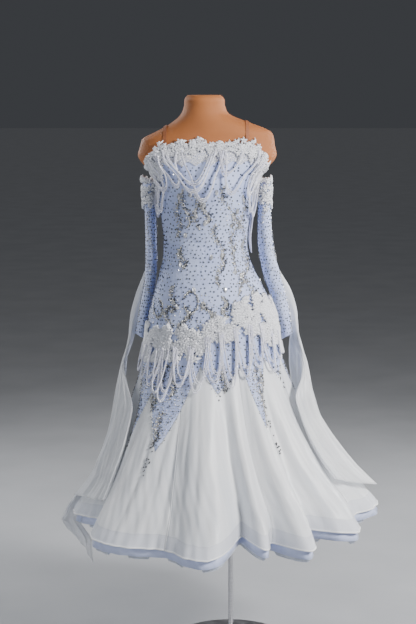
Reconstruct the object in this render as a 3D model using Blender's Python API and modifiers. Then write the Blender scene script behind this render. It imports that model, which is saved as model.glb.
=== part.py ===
"""A ballroom dance dress on a limbless dress form with a pole and a round base.

Metres, +Z up, the front faces -Y. The origin is the middle of the base's underside.
Angles round the figure are in degrees: 0 is the front, 90 is the photograph's right side,
180 is the back and -90 is the left side.
"""

import math

import bmesh
import bpy
import numpy as np
from mathutils import Vector
from mathutils.bvhtree import BVHTree

# Sizes of the stand
BASE_RADIUS = 0.18
BASE_HEIGHT = 0.016
BASE_EDGE = 0.004
POLE_RADIUS = 0.0075
POLE_GAP = 0.0003
FORM_BOTTOM = 0.955

# Sizes of the cloth
BODICE_WALL = 0.0014
SKIRT_WALL = 0.0016
UNDER_WALL = 0.0012
SLEEVE_WALL = 0.0014
FLOAT_WALL = 0.0012
LACE_WALL = 0.0030
STRAP_WALL = 0.0010
STRAP_SEAT = 0.0019
STRAP_STEPS = 26
BUST_SHARES = [0.22, 0.42, 0.60, 0.76, 0.89, 1.0]
STRAP_FRONT = -55
STRAP_BACK = 130
STRAP_WIDTH = 0.010
SEAM_GAP = 0.00045
SEAT_GAP = 0.0003
FORM_CLEARANCE = 0.0054

# How far each layer's inner side stands off the bodice's outer side
LACE_OFF = {"front": 0.0023, "back": 0.0014}
NECK_LACE_DEPTH = 0.058
RAISED = 0.85
SUNKEN = 0.42
NECK_SWAG_OFF = 0.0086
HIP_SWAG_OFF = 0.0061
STRAND_RADIUS = 0.0022
STRIP_WALL = 0.0016
STRIP_HEIGHT = 0.008

# Counts
HALF_FOLD_STEPS = 3
STEEP_FOLD = 0.12
FIGURE_STEPS = 40
FORM_STEPS = 24
LACE_STEPS = 36
STRIP_STEPS = 40
SLEEVE_STEPS = 12

# Sections of the clothed figure, top to bottom: height, middle across, half width, front, back
FIGURE = np.array([
    (1.5400, -0.0690, 0.1960, 0.078, 0.090),
    (1.5150, -0.0705, 0.2040, 0.090, 0.096),
    (1.4910, -0.0715, 0.2080, 0.101, 0.098),
    (1.4670, -0.0720, 0.1920, 0.111, 0.098),
    (1.4430, -0.0725, 0.1620, 0.120, 0.097),
    (1.4130, -0.0725, 0.1440, 0.127, 0.095),
    (1.3500, -0.0760, 0.1350, 0.114, 0.091),
    (1.2990, -0.0765, 0.1280, 0.102, 0.086),
    (1.2400, -0.0765, 0.1225, 0.095, 0.084),
    (1.1900, -0.0740, 0.1280, 0.099, 0.093),
    (1.1300, -0.0680, 0.1490, 0.111, 0.111),
    (1.0830, -0.0620, 0.1680, 0.120, 0.124),
    (1.0200, -0.0575, 0.1860, 0.128, 0.135),
    (0.9400, -0.0555, 0.1970, 0.138, 0.146),
    (0.9000, -0.0550, 0.2050, 0.148, 0.155),
    (0.8000, -0.0520, 0.2320, 0.185, 0.190),
    (0.6630, -0.0430, 0.2850, 0.252, 0.255),
    (0.5430, -0.0290, 0.3500, 0.322, 0.325),
    (0.4800, -0.0200, 0.3910, 0.365, 0.368),
    (0.4200, -0.0200, 0.4190, 0.398, 0.401),
    (0.3600, -0.0220, 0.4360, 0.420, 0.422),
])

# Neck and shoulders of the form above the dress, top to bottom, with the same columns
NECK = np.array([
    (1.6680, -0.0800, 0.0480, 0.046, 0.054),
    (1.6610, -0.0795, 0.0550, 0.053, 0.061),
    (1.6350, -0.0790, 0.0600, 0.057, 0.064),
    (1.6110, -0.0765, 0.0730, 0.061, 0.070),
    (1.5890, -0.0610, 0.1130, 0.066, 0.077),
    (1.5660, -0.0520, 0.1610, 0.071, 0.084),
])

# Neckline of the bodice: angle, height
NECKLINE = np.array([
    (-180, 1.430), (-120, 1.420), (-96, 1.405), (-80, 1.428), (-60, 1.468), (-42, 1.517),
    (0, 1.523), (42, 1.523), (56, 1.476), (80, 1.430), (96, 1.405), (120, 1.420), (180, 1.430),
], dtype=float)

# Seam of bodice and skirt, a zigzag of long points between godets: angle, height
HIP_SEAM = np.array([
    (-180, 0.700), (-157, 0.890), (-138, 0.725), (-115, 0.890), (-98, 0.770), (-80, 0.885),
    (-62, 0.680), (-50, 0.815), (-37, 0.655), (-10, 0.894), (3, 0.815), (24, 0.897),
    (33, 0.722), (47, 0.910), (62, 0.850), (76, 0.900), (94, 0.760), (115, 0.890),
    (138, 0.725), (157, 0.890), (180, 0.700),
], dtype=float)

# Levels of the bodice above its points, from the hips to the bust
WAIST = 1.20
HIP_LEVEL = 0.925
BODICE_LEVELS = (HIP_LEVEL, 0.985, 1.05, 1.115, 1.18, 1.24, 1.30, 1.36)

# Folds of the skirt: crest angle, crest height, angle of the next trough, trough depth
FOLDS = np.array([
    (-168, 0.046, -157, 0.050), (-146, 0.044, -135, 0.052), (-124, 0.046, -112, 0.048),
    (-101, 0.040, -73, 0.045), (-52, 0.046, -24, 0.002),
    (-6, 0.060, 8, 0.078), (15, 0.012, 21, 0.055), (31, 0.044, 41, 0.066),
    (57, 0.042, 70, 0.012), (88, 0.070, 105, 0.050), (118, 0.044, 131, 0.052),
    (144, 0.046, 156, 0.050), (168, 0.046, 180, 0.050),
])

CREST_ROUNDNESS = 1.3

# Growth of the folds from the hips to the hem: height, share of the full depth
FOLD_GROWTH = np.array([
    (0.36, 1.22), (0.40, 1.10), (0.44, 0.88), (0.49, 0.68), (0.54, 0.55), (0.66, 0.36), (0.80, 0.12), (0.91, 0.0),
])

# Hem of the outer skirt: angle, height
HEM = np.array([
    (-180, 0.425), (-130, 0.425), (-101, 0.402), (-73, 0.420), (-52, 0.410), (-6, 0.407), (8, 0.434),
    (15, 0.418), (31, 0.412), (41, 0.434), (57, 0.424), (78, 0.446), (95, 0.460), (130, 0.445), (180, 0.425),
])

# Gores of the skirt: name and the two angles where each one starts and ends
GORES = (
    ("skirt_back_left", -180, -135), ("skirt_side_left", -135, -73),
    ("skirt_front_left", -73, -24), ("skirt_front", -24, 21), ("skirt_front_right", 21, 70),
    ("skirt_side_right", 70, 131), ("skirt_back_right", 131, 180),
)
GORE_LEVELS = (0.14, 0.35, 0.57, 0.79)
SKIRT_LOW = 0.42

# Inner skirts: share of the way down and distance inside the outer skirt; then their tops and drops
UNDERSKIRT_OFF = np.array([(0.0, 0.0030), (0.2, 0.013), (0.45, 0.017), (1.0, 0.018)])
PETTICOAT_OFF = np.array([(0.0, 0.0052), (0.2, 0.019), (0.45, 0.028), (1.0, 0.032)])
INNER_LEVELS = (1.0, 0.72, 0.44, 0.20, 0.0)
UNDERSKIRT_TOP = 0.930
PETTICOAT_TOP = 0.926
UNDERSKIRT_DROP = 0.024
PETTICOAT_DROP = 0.034
PETTICOAT_STEP = 0.016

# Sleeves, top to bottom: height, middle across and middle deep, from the pole; half width
SLEEVE_LEFT = np.array([
    (1.412, -0.2446, 0.030, 0.0170), (1.300, -0.2395, 0.030, 0.0170), (1.205, -0.2375, 0.030, 0.0170),
    (1.130, -0.2405, 0.036, 0.0170), (1.050, -0.2545, 0.050, 0.0170), (0.935, -0.2765, 0.064, 0.0160),
])
SLEEVE_RIGHT = np.array([
    (1.412, 0.0962, 0.030, 0.0185), (1.300, 0.0980, 0.030, 0.0200), (1.205, 0.1060, 0.030, 0.0235),
    (1.130, 0.1240, 0.036, 0.0250), (1.050, 0.1480, 0.050, 0.0230), (0.935, 0.1700, 0.062, 0.0180),
])
SLEEVE_HALF_DEPTH = 0.038
SLEEVE_LEVELS = 7

# Floats: share from the front edge to the back, start on the sleeve, end height, angle low down
FLOAT_LEFT = np.array([
    (0.00, 0.945, 0.505, -60), (0.25, 0.990, 0.485, -74), (0.50, 1.050, 0.470, -88),
    (0.72, 1.110, 0.450, -100), (0.86, 1.140, 0.300, -104), (1.00, 1.158, 0.215, -107),
])
FLOAT_RIGHT = np.array([
    (0.00, 0.945, 0.560, 64), (0.25, 0.990, 0.530, 77), (0.50, 1.050, 0.500, 92),
    (0.75, 1.110, 0.490, 108), (0.88, 1.140, 0.480, 116), (1.00, 1.158, 0.500, 124),
])
# Stand-off of the floats from the skirt's crests: height, then left and right shares of its radius
FLOAT_STAND_OFF = np.array([
    (0.21, -0.060, 0.080), (0.30, -0.030, 0.080), (0.36, 0.072, 0.080), (0.42, 0.072, 0.100),
    (0.50, 0.030, 0.125), (0.54, 0.030, 0.120), (0.57, 0.050, 0.105), (0.61, 0.065, 0.100),
    (0.66, 0.092, 0.105), (0.72, 0.140, 0.125), (0.80, 0.215, 0.210), (0.88, 0.280, 0.320),
    (0.94, 0.310, 0.350), (1.16, 0.360, 0.360),
])
FLOAT_STEPS = 14
FLOAT_LEVELS = 9
FLOAT_FOLD = 0.006
FRONT_EDGE = 0.5

# Loops of beads on the neckline: start angle, end angle, lowest height
NECK_LOOPS = (
    (-76, -52, 1.330), (-44, -24, 1.405), (-33, 7, 1.392), (-20, 12, 1.366), (9, 27, 1.440),
    (13, 43, 1.386), (52, 76, 1.332), (112, 140, 1.300), (142, 178, 1.240), (-178, -142, 1.240),
    (-140, -112, 1.300),
)
# Loops of beads on the hips: start angle, end angle, lowest height
HIP_LOOPS = (
    (-60, -44, 0.830), (-46, -31, 0.790), (-33, -18, 0.835), (-20, -4, 0.822), (-6, 8, 0.850),
    (6, 20, 0.834), (18, 33, 0.862), (31, 46, 0.884), (44, 60, 0.870), (58, 74, 0.900),
    (122, 141, 0.850), (139, 160, 0.815), (158, 178, 0.835), (-178, -158, 0.835),
    (-160, -139, 0.815), (-141, -122, 0.850),
)
# Lace and bead strip at the hips: angle, the lace's lower edge, its upper edge, the strip's height
HIP_LACE = np.array([
    (-180, 0.945, 1.015, 0.985), (-110, 0.915, 1.000, 0.965), (-90, 0.885, 0.985, 0.940),
    (-50, 0.890, 0.985, 0.940), (-14, 0.905, 0.990, 0.950), (-4, 0.950, 1.015, 0.985),
    (16, 0.960, 1.025, 0.995), (24, 0.980, 1.070, 1.015), (44, 0.975, 1.080, 1.010),
    (62, 0.925, 1.080, 0.985), (90, 0.905, 1.050, 0.975), (120, 0.940, 1.020, 0.985),
    (180, 0.945, 1.015, 0.985),
])
STRAND_STEPS = 6
LOOP_ROUNDNESS = 2.2
# How far each flower of a lace edge stands past the next one
PETALS = (0.010, 0.002, 0.016, 0.004, 0.008, 0.001, 0.013, 0.005)
STRAPS = (("strap_left", -0.123), ("strap_right", 0.116))


def smooth_at(z, table, column):
    """A cubic curve through the rows of a table, whose first column is the height."""
    rows = table[np.argsort(table[:, 0])]
    zs = rows[:, 0]
    values = rows[:, column]
    slopes = np.gradient(values, zs)
    z = np.clip(z, zs[0], zs[-1])
    i = np.clip(np.searchsorted(zs, z) - 1, 0, len(zs) - 2)
    width = zs[i + 1] - zs[i]
    u = (z - zs[i]) / width
    start = values[i] * (1 + 2 * u) * (1 - u) ** 2 + slopes[i] * width * u * (1 - u) ** 2
    return start + values[i + 1] * u * u * (3 - 2 * u) - slopes[i + 1] * width * u * u * (1 - u)


def wrapped(angle):
    return (angle + 180.0) % 360.0 - 180.0


def along(angle, table):
    """Straight runs between the rows of a table of angle and height, closed round the back."""
    rows = table[np.argsort(table[:, 0])]
    return np.interp(wrapped(angle), rows[:, 0], rows[:, 1])


def fold_rows():
    """Crests and troughs in one list of angle and signed height, one turn and a bit long."""
    rows = []
    for crest, height, trough, depth in FOLDS:
        rows.append((crest, height))
        rows.append((trough, -depth))
    last_trough = (rows[-1][0] - 360.0, rows[-1][1])
    return np.array([last_trough] + rows)


FOLD_ROWS = fold_rows()


def fold_height(angle):
    """How far the folds stand out at the hem: half a cosine from crest to trough, fuller at the crest."""
    angle = wrapped(angle)
    at = FOLD_ROWS[:, 0]
    i = np.clip(np.searchsorted(at, angle, side="right") - 1, 0, len(at) - 2)
    u = (angle - at[i]) / (at[i + 1] - at[i])
    start = FOLD_ROWS[i, 1]
    end = FOLD_ROWS[i + 1, 1]
    if start > end:
        return start + (end - start) * (1 - math.cos(math.pi * u**CREST_ROUNDNESS)) / 2
    return end + (start - end) * (1 - math.cos(math.pi * (1 - u) ** CREST_ROUNDNESS)) / 2


def fold_columns():
    """Column angles all round, equal steps from crest to trough, with the seam's corners on them."""
    angles = []
    at = FOLD_ROWS[:, 0]
    for start, end in zip(at[:-1], at[1:]):
        for step in range(HALF_FOLD_STEPS):
            angles.append(start + (end - start) * step / HALF_FOLD_STEPS)
    angles = np.array(angles)
    fixed = {-180.0}
    fixed.update(float(start) for _, start, _ in GORES)
    for corner in (*HIP_SEAM[:-1, 0], -90.0, 90.0):
        free = [i for i, angle in enumerate(angles) if angle not in fixed]
        if corner in fixed:
            continue
        nearest = min(free, key=lambda i: abs(angles[i] - corner))
        angles[nearest] = corner
        fixed.add(float(corner))
    return [float(angle) for angle in angles] + [180.0]


COLUMNS = fold_columns()


def figure_point(angle, z, off=0.0, folds=1.0):
    """A point of the cloth's outer side: an ellipse at each height, pushed out by the folds."""
    turn = math.radians(angle)
    side = math.sin(turn)
    ahead = math.cos(turn)
    depth = smooth_at(z, FIGURE, 3 if ahead > 0 else 4)
    out = off
    if z < FOLD_GROWTH[-1, 0]:
        out += folds * fold_height(angle) * np.interp(z, FOLD_GROWTH[:, 0], FOLD_GROWTH[:, 1])
    x = smooth_at(z, FIGURE, 1) + (smooth_at(z, FIGURE, 2) + out) * side
    return (float(x), float(-(depth + out) * ahead), float(z))


def seam_height(angle, part):
    """The hip seam's height, with part 1 for the bodice above it and -1 for the skirt below."""
    middle = along(angle, HIP_SEAM)
    radius = 0.9 * smooth_at(middle, FIGURE, 2)
    step = 1.5
    run = radius * math.radians(step)
    rise = max(abs(along(angle + step, HIP_SEAM) - middle), abs(middle - along(angle - step, HIP_SEAM)))
    return middle + part * SEAM_GAP * math.hypot(1.0, rise / run)


def material(name, colour, roughness, metallic=0.0):
    made = bpy.data.materials.new(name)
    made.use_nodes = True
    shader = made.node_tree.nodes["Principled BSDF"]
    shader.inputs["Base Color"].default_value = (*colour, 1.0)
    shader.inputs["Roughness"].default_value = roughness
    shader.inputs["Metallic"].default_value = metallic
    return made


def add_object(name, mesh, finish, collection):
    thing = bpy.data.objects.new(name, mesh)
    mesh.materials.append(finish)
    mesh.shade_smooth()
    mesh.set_sharp_from_angle(angle=math.radians(50))
    collection.objects.link(thing)
    return thing


def stitch(lower, upper, first, second):
    """Triangles between two rows of points with their own spacing, led by their parameters."""
    faces = []
    i = 0
    j = 0
    while i < len(lower) - 1 or j < len(upper) - 1:
        go_lower = j == len(upper) - 1
        if not go_lower and i < len(lower) - 1:
            go_lower = lower[i] + lower[i + 1] < upper[j] + upper[j + 1]
        if go_lower:
            faces.append((first + i, first + i + 1, second + j))
            i += 1
        else:
            faces.append((first + i, second + j + 1, second + j))
            j += 1
    return faces


def sheet_mesh(name, rows, closed=False, skipped=()):
    """An open surface through rows of (parameter, point), listed from the bottom row to the top.

    The parameter grows to the right as seen from outside, so the faces look outwards. A closed
    sheet joins its last column to its first. Cells named in skipped are left open.
    """
    points = []
    faces = []
    starts = []
    for row in rows:
        starts.append(len(points))
        points.extend(point for _, point in row)
    for level, (row, above) in enumerate(zip(rows[:-1], rows[1:])):
        first = starts[level]
        second = starts[level + 1]
        if len(row) == len(above):
            for i in range(len(row) - 1):
                if (level, i) in skipped:
                    continue
                faces.append((first + i, first + i + 1, second + i + 1))
                faces.append((first + i, second + i + 1, second + i))
            if closed:
                last = len(row) - 1
                faces.append((first + last, first, second))
                faces.append((first + last, second, second + last))
        else:
            lower = [value for value, _ in row]
            upper = [value for value, _ in above]
            faces.extend(stitch(lower, upper, first, second))
    mesh = bpy.data.meshes.new(name)
    mesh.from_pydata(points, [], faces)
    mesh.update()
    return mesh


def thicken(thing, wall, offset=-1.0, weights=None):
    """Solidify gives the surface its wall; weights raise a relief on the outer side alone."""
    solid = thing.modifiers.new("wall", "SOLIDIFY")
    solid.thickness = wall
    solid.offset = offset
    solid.use_even_offset = False
    if weights is None:
        return
    group = thing.vertex_groups.new(name="relief")
    for index, weight in enumerate(weights):
        group.add([index], weight, "REPLACE")
    solid.vertex_group = group.name
    solid.thickness_vertex_group = 0.0


def spread(start, end, count):
    return [start + (end - start) * i / count for i in range(count + 1)]


def inside_ends(angles, z, gap):
    """The same angles with the first and last moved in, so that neighbours keep a seam's gap."""
    shift = math.degrees(gap / (0.85 * smooth_at(z, FIGURE, 2)))
    moved = list(angles)
    moved[0] += shift
    moved[-1] -= shift
    return moved


def bodice_panel(name, start, end, finish, collection):
    """Front or back: fine columns in the points below the hips, plain ones above."""
    turned = COLUMNS + [angle + 360 for angle in COLUMNS[1:]]
    low = [angle for angle in turned if start <= angle <= end]
    high = spread(start, end, FIGURE_STEPS // 2)
    rows = []
    for share in (0.0, 0.45, 0.8):
        row = []
        for angle in inside_ends(low, HIP_LEVEL, SEAM_GAP):
            bottom = seam_height(angle, 1)
            z = bottom + (HIP_LEVEL - bottom) * share
            row.append((angle, figure_point(angle, z)))
        rows.append(row)
    for z in BODICE_LEVELS:
        rows.append([(angle, figure_point(angle, z)) for angle in inside_ends(high, z, SEAM_GAP)])
    bust = BODICE_LEVELS[-1]
    for share in BUST_SHARES:
        row = []
        for angle in inside_ends(high, bust, SEAM_GAP):
            z = bust + (along(angle, NECKLINE) - bust) * share
            row.append((angle, figure_point(angle, z)))
        rows.append(row)
    panel = add_object(name, sheet_mesh(name, rows), finish, collection)
    thicken(panel, BODICE_WALL)


def skirt_gore(name, start, end, finish, collection):
    angles = [angle for angle in COLUMNS if start <= angle <= end]
    rows = []
    for share in (0.0, *GORE_LEVELS, 1.0):
        row = []
        level = SKIRT_LOW + (HIP_LEVEL - SKIRT_LOW) * share
        for angle in inside_ends(angles, level, SEAM_GAP):
            bottom = along(angle, HEM)
            top = seam_height(angle, -1)
            row.append((angle, figure_point(angle, bottom + (top - bottom) * share)))
        rows.append(row)
    gore = add_object(name, sheet_mesh(name, rows), finish, collection)
    thicken(gore, SKIRT_WALL)


def inner_columns(start, end):
    """Columns of the inner skirts: crests, troughs and a middle, or two where the fold is steep."""
    turns = []
    for (left, high), (right, low) in zip(FOLD_ROWS[:-1], FOLD_ROWS[1:]):
        parts = 3 if abs(high - low) > STEEP_FOLD else 2
        turns += spread(left, right, parts)[:-1]
    turns += [angle + 360 for angle in turns]
    return [start] + [float(angle) for angle in turns if start + 1 < angle < end - 1] + [end]


def inner_skirt(name, start, end, top, drop, offs, notch, finish, collection):
    """A plain skirt inside the folds; notch steps its hem up and down, as loose net layers do."""
    angles = inner_columns(start, end)
    rows = []
    for share in INNER_LEVELS:
        row = []
        off = float(np.interp(share, offs[:, 0], offs[:, 1]))
        ends = inside_ends(angles, top + (SKIRT_LOW - top) * share, SEAM_GAP)
        for index, angle in enumerate(ends):
            step = notch * ((index // 2) % 2)
            bottom = along(angle, HEM) - drop + step
            z = top + (bottom - top) * share
            row.append((angle, figure_point(angle, z, -off)))
        rows.append(row)
    skirt = add_object(name, sheet_mesh(name, rows), finish, collection)
    thicken(skirt, UNDER_WALL)


def lace_band(name, start, end, off, top_of, bottom_of, levels, finish, collection):
    """Beaded lace: flower edges, relief on its outer side, and gaps cut through between flowers.

    Every fourth cell of the inner levels is left out, shifted from level to level.
    """
    angles = spread(start, end, LACE_STEPS)
    rows = []
    weights = []
    for level in range(levels + 1):
        share = level / levels
        row = []
        for index, angle in enumerate(inside_ends(angles, WAIST, 2 * SEAM_GAP)):
            petal = PETALS[index % len(PETALS)]
            top = top_of(angle) + petal
            bottom = bottom_of(angle) - 1.4 * PETALS[(index + 3) % len(PETALS)]
            z = bottom + (top - bottom) * share
            row.append((angle, figure_point(angle, z, off)))
            weights.append(RAISED if (index + level) % 2 else SUNKEN)
        rows.append(row)
    gaps = {
        (level, index)
        for level in range(1, levels - 1)
        for index in range(2, LACE_STEPS - 2, 4)
        if (index // 4 + level) % 2
    }
    lace = add_object(name, sheet_mesh(name, rows, skipped=gaps), finish, collection)
    thicken(lace, LACE_WALL, 1.0, weights)


def poly_curve(name, points, closed):
    curve = bpy.data.curves.new(name, "CURVE")
    curve.dimensions = "3D"
    spline = curve.splines.new("POLY")
    spline.points.add(len(points) - 1)
    for target, point in zip(spline.points, points):
        target.co = (*point, 1.0)
    spline.use_cyclic_u = closed
    helper = bpy.data.objects.new(name, curve)
    bpy.context.scene.collection.objects.link(helper)
    return helper


def strand_mesh(points):
    """A closed three-sided tube along a loop of points, its ends capped."""
    corners = [math.radians(turn) for turn in (90, 210, 330)]
    section = poly_curve("section", [
        (STRAND_RADIUS * math.cos(corner), STRAND_RADIUS * math.sin(corner), 0.0) for corner in corners
    ], True)
    helper = poly_curve("strand", points, False)
    curve = helper.data
    curve.bevel_mode = "OBJECT"
    curve.bevel_object = section
    curve.use_fill_caps = True
    graph = bpy.context.evaluated_depsgraph_get()
    mesh = bpy.data.meshes.new_from_object(helper.evaluated_get(graph))
    for used in (helper, section):
        shape = used.data
        bpy.data.objects.remove(used)
        bpy.data.curves.remove(shape)
    weld(mesh)
    return mesh


def weld(mesh):
    shape = bmesh.new()
    shape.from_mesh(mesh)
    bmesh.ops.remove_doubles(shape, verts=shape.verts, dist=0.00001)
    bmesh.ops.recalc_face_normals(shape, faces=shape.faces)
    shape.to_mesh(mesh)
    shape.free()


def ring_strip(name, strip_height_of, off, finish, collection):
    """The backing strip of the bead loops: a narrow closed band round the figure."""
    rows = []
    angles = spread(-180, 180, STRIP_STEPS)[:-1]
    for share in (0.0, 1.0):
        row = []
        for angle in angles:
            z = strip_height_of(angle) + STRIP_HEIGHT * (share - 0.5)
            row.append((angle, figure_point(angle, z, off)))
        rows.append(row)
    strip = add_object(name, sheet_mesh(name, rows, closed=True), finish, collection)
    thicken(strip, STRIP_WALL, 1.0)
    return strip


def bead_swags(name, strip_height_of, off, loops, finish, collection, cutters):
    """Loops of beads hung from one strip and joined to it at both ends."""
    strip = ring_strip(name, strip_height_of, off, finish, collection)
    for number, (start, end, low) in enumerate(loops):
        points = []
        for angle in spread(start, end, STRAND_STEPS):
            share = (angle - start) / (end - start)
            root = strip_height_of(angle)
            fall = 1.0 - abs(2 * share - 1) ** LOOP_ROUNDNESS
            z = root + (low - root) * fall
            strand_off = off + STRAND_RADIUS * (0.9 + 0.9 * fall) + 0.0004 * (number % 2)
            points.append(figure_point(angle, z, strand_off))
        strand = bpy.data.objects.new(f"{name}_strand_{number}", strand_mesh(points))
        cutters.objects.link(strand)
        strand.hide_render = True
        strand.display_type = "WIRE"
        joined = strip.modifiers.new("join", "BOOLEAN")
        joined.operation = "UNION"
        joined.solver = "EXACT"
        joined.object = strand


def sleeve_centre(z, table):
    return smooth_at(z, table, 1), smooth_at(z, table, 2)


def sleeve_point(turn, z, table, out=0.0):
    """A point of a sleeve: a flattened ring at each height; turn 0 faces the front."""
    x, y = sleeve_centre(z, table)
    angle = math.radians(turn)
    x += (smooth_at(z, table, 3) + out) * math.sin(angle)
    y -= (SLEEVE_HALF_DEPTH + out) * math.cos(angle)
    return (float(x), float(y), float(z))


def sleeve(name, table, finish, collection):
    rows = []
    turns = spread(-180, 180, SLEEVE_STEPS)[:-1]
    for z in spread(table[-1, 0], table[0, 0], SLEEVE_LEVELS):
        rows.append([(turn, sleeve_point(turn, z, table)) for turn in turns])
    tube = add_object(name, sheet_mesh(name, rows, closed=True), finish, collection)
    thicken(tube, SLEEVE_WALL)


def sleeve_lace(name, table, finish, collection):
    """Lace round a sleeve's top, with a flower edge above it and another below."""
    turns = spread(-180, 180, 2 * SLEEVE_STEPS)[:-1]
    rows = []
    weights = []
    for share in (0.0, 0.5, 1.0):
        row = []
        for index, turn in enumerate(turns):
            top = table[0, 0] + 0.003 + 0.8 * PETALS[index % 8]
            bottom = table[0, 0] - 0.060 - 2 * PETALS[(index + 3) % 8]
            z = bottom + (top - bottom) * share
            row.append((turn, sleeve_point(turn, z, table, 0.0006)))
            weights.append(RAISED if index % 2 else SUNKEN)
        rows.append(row)
    band = add_object(name, sheet_mesh(name, rows, closed=True), finish, collection)
    thicken(band, LACE_WALL, 1.0, weights)


def float_panel(name, sleeve_table, rows_table, side, finish, collection):
    """A loose panel sewn along the sleeve from elbow to wrist that falls over the skirt's side."""
    columns = spread(0.0, 1.0, FLOAT_STEPS)
    rows = []
    for level in range(FLOAT_LEVELS, -1, -1):
        share = level / FLOAT_LEVELS
        row = []
        for index, across in enumerate(columns):
            start = np.interp(across, rows_table[:, 0], rows_table[:, 1])
            end = np.interp(across, rows_table[:, 0], rows_table[:, 2])
            low_angle = np.interp(across, rows_table[:, 0], rows_table[:, 3])
            z = float(start + (end - start) * share)
            turn = side * (90 + 35 * across)
            seat = sleeve_point(turn, start, sleeve_table, SEAT_GAP + FLOAT_WALL)
            half = smooth_at(start, FIGURE, 2)
            ahead = smooth_at(start, FIGURE, 3 if seat[1] < 0 else 4)
            right = (seat[0] - smooth_at(start, FIGURE, 1)) / half
            front = -seat[1] / ahead
            seat_angle = math.degrees(math.atan2(right, front))
            seat_out = math.hypot(right, front) - 1.0
            settle = min(1.0, share * 2.2)
            settle = settle * settle * (3 - 2 * settle)
            angle = seat_angle + (low_angle - seat_angle) * settle
            low_out = np.interp(z, FLOAT_STAND_OFF[:, 0], FLOAT_STAND_OFF[:, 1 if side < 0 else 2])
            low_out *= FRONT_EDGE + (1 - FRONT_EDGE) * min(1.0, 3 * across)
            out = seat_out + (low_out - seat_out) * settle
            wave = FLOAT_FOLD * (1 if index % 2 else -1) * min(1.0, max(0.0, 3 * share - 0.6))
            growth = np.interp(z, FOLD_GROWTH[:, 0], FOLD_GROWTH[:, 1])
            wave += max(0.0, fold_height(angle)) * growth * settle
            turned = math.radians(angle)
            depth = smooth_at(z, FIGURE, 3 if math.cos(turned) > 0 else 4)
            x = smooth_at(z, FIGURE, 1) + (smooth_at(z, FIGURE, 2) * (1 + out) + wave) * math.sin(turned)
            y = -(depth * (1 + out) + wave) * math.cos(turned)
            row.append((across, (float(x), float(y), z)))
        if side < 0:
            row.reverse()
        rows.append(row)
    panel = add_object(name, sheet_mesh(name, rows), finish, collection)
    thicken(panel, FLOAT_WALL)


def form_body(finish, collection):
    """The limbless form: one closed loft from the flat bottom to the flat top of the neck.

    Above the figure's top row it has its full size; 20 mm lower it has shrunk by the clearance.
    """
    shoulder = FIGURE[0, 0]
    torso = FIGURE[FIGURE[:, 0] > FORM_BOTTOM]
    heights = list(NECK[:, 0]) + spread(shoulder, 1.40, 10) + spread(1.37, FORM_BOTTOM, 7)
    points = []
    faces = []
    for z in heights:
        table = FIGURE if z <= shoulder else np.vstack([NECK, torso])
        middle, half, front, back = (float(smooth_at(z, table, column)) for column in (1, 2, 3, 4))
        tight = FORM_CLEARANCE * min(1.0, max(0.0, (shoulder + 0.02 - z) / 0.04))
        for turn in spread(0, 360, FORM_STEPS)[:-1]:
            angle = math.radians(turn)
            depth = front if math.cos(angle) > 0 else back
            x = middle + (half - tight) * math.sin(angle)
            points.append((x, -(depth - tight) * math.cos(angle), z))
    for level in range(len(heights) - 1):
        for i in range(FORM_STEPS):
            j = (i + 1) % FORM_STEPS
            a = level * FORM_STEPS
            b = a + FORM_STEPS
            faces.append((a + i, b + i, b + j))
            faces.append((a + i, b + j, a + j))
    last = (len(heights) - 1) * FORM_STEPS
    faces.append(tuple(range(FORM_STEPS)))
    faces.append(tuple(last + i for i in reversed(range(FORM_STEPS))))
    mesh = bpy.data.meshes.new("dress_form")
    mesh.from_pydata(points, [], faces)
    weld(mesh)
    return add_object("dress_form", mesh, finish, collection)


def taut_line(hits, count):
    """A line stretched over points from front to back, moved out by the seat's gap."""
    hull = []
    for y, z in hits:
        while len(hull) > 1:
            (y0, z0), (y1, z1) = hull[-2:]
            if (y1 - y0) * (z - z0) - (z1 - z0) * (y - y0) < 0:
                break
            hull.pop()
        hull.append((y, z))
    hull = np.array(hull)
    lengths = np.concatenate([[0.0], np.cumsum(np.hypot(*np.diff(hull, axis=0).T))])
    at = np.linspace(0.0, lengths[-1], count + 1)
    line = np.stack([np.interp(at, lengths, hull[:, 0]), np.interp(at, lengths, hull[:, 1])], axis=1)
    ways = np.gradient(line, axis=0)
    ways /= np.linalg.norm(ways, axis=1)[:, None]
    line += STRAP_SEAT * np.stack([-ways[:, 1], ways[:, 0]], axis=1)
    return [(share, (float(y), float(z))) for share, (y, z) in zip(at, line)]


def shoulder_strap(name, across, form, finish, collection):
    """A ribbon over the shoulder, laid on the form by casting rays at it in three lines."""
    graph = bpy.context.evaluated_depsgraph_get()
    tree = BVHTree.FromObject(form, graph)
    rows = []
    for edge in (0.5, 0.0, -0.5):
        row = []
        x = smooth_at(1.50, FIGURE, 1) + across + edge * STRAP_WIDTH
        middle = Vector((x, 0.0, 1.47))
        hits = []
        for turn in spread(STRAP_FRONT, STRAP_BACK, 200):
            lean = math.radians(turn)
            way = Vector((0.0, math.sin(lean), math.cos(lean)))
            hit, _, _, _ = tree.ray_cast(middle + way * 0.4, -way)
            hits.append((hit.y, hit.z))
        for share, (y, z) in taut_line(hits, STRAP_STEPS):
            row.append((share, (x, y, z)))
        rows.append(row)
    strap = add_object(name, sheet_mesh(name, rows), finish, collection)
    thicken(strap, STRAP_WALL, 1.0)


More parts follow.
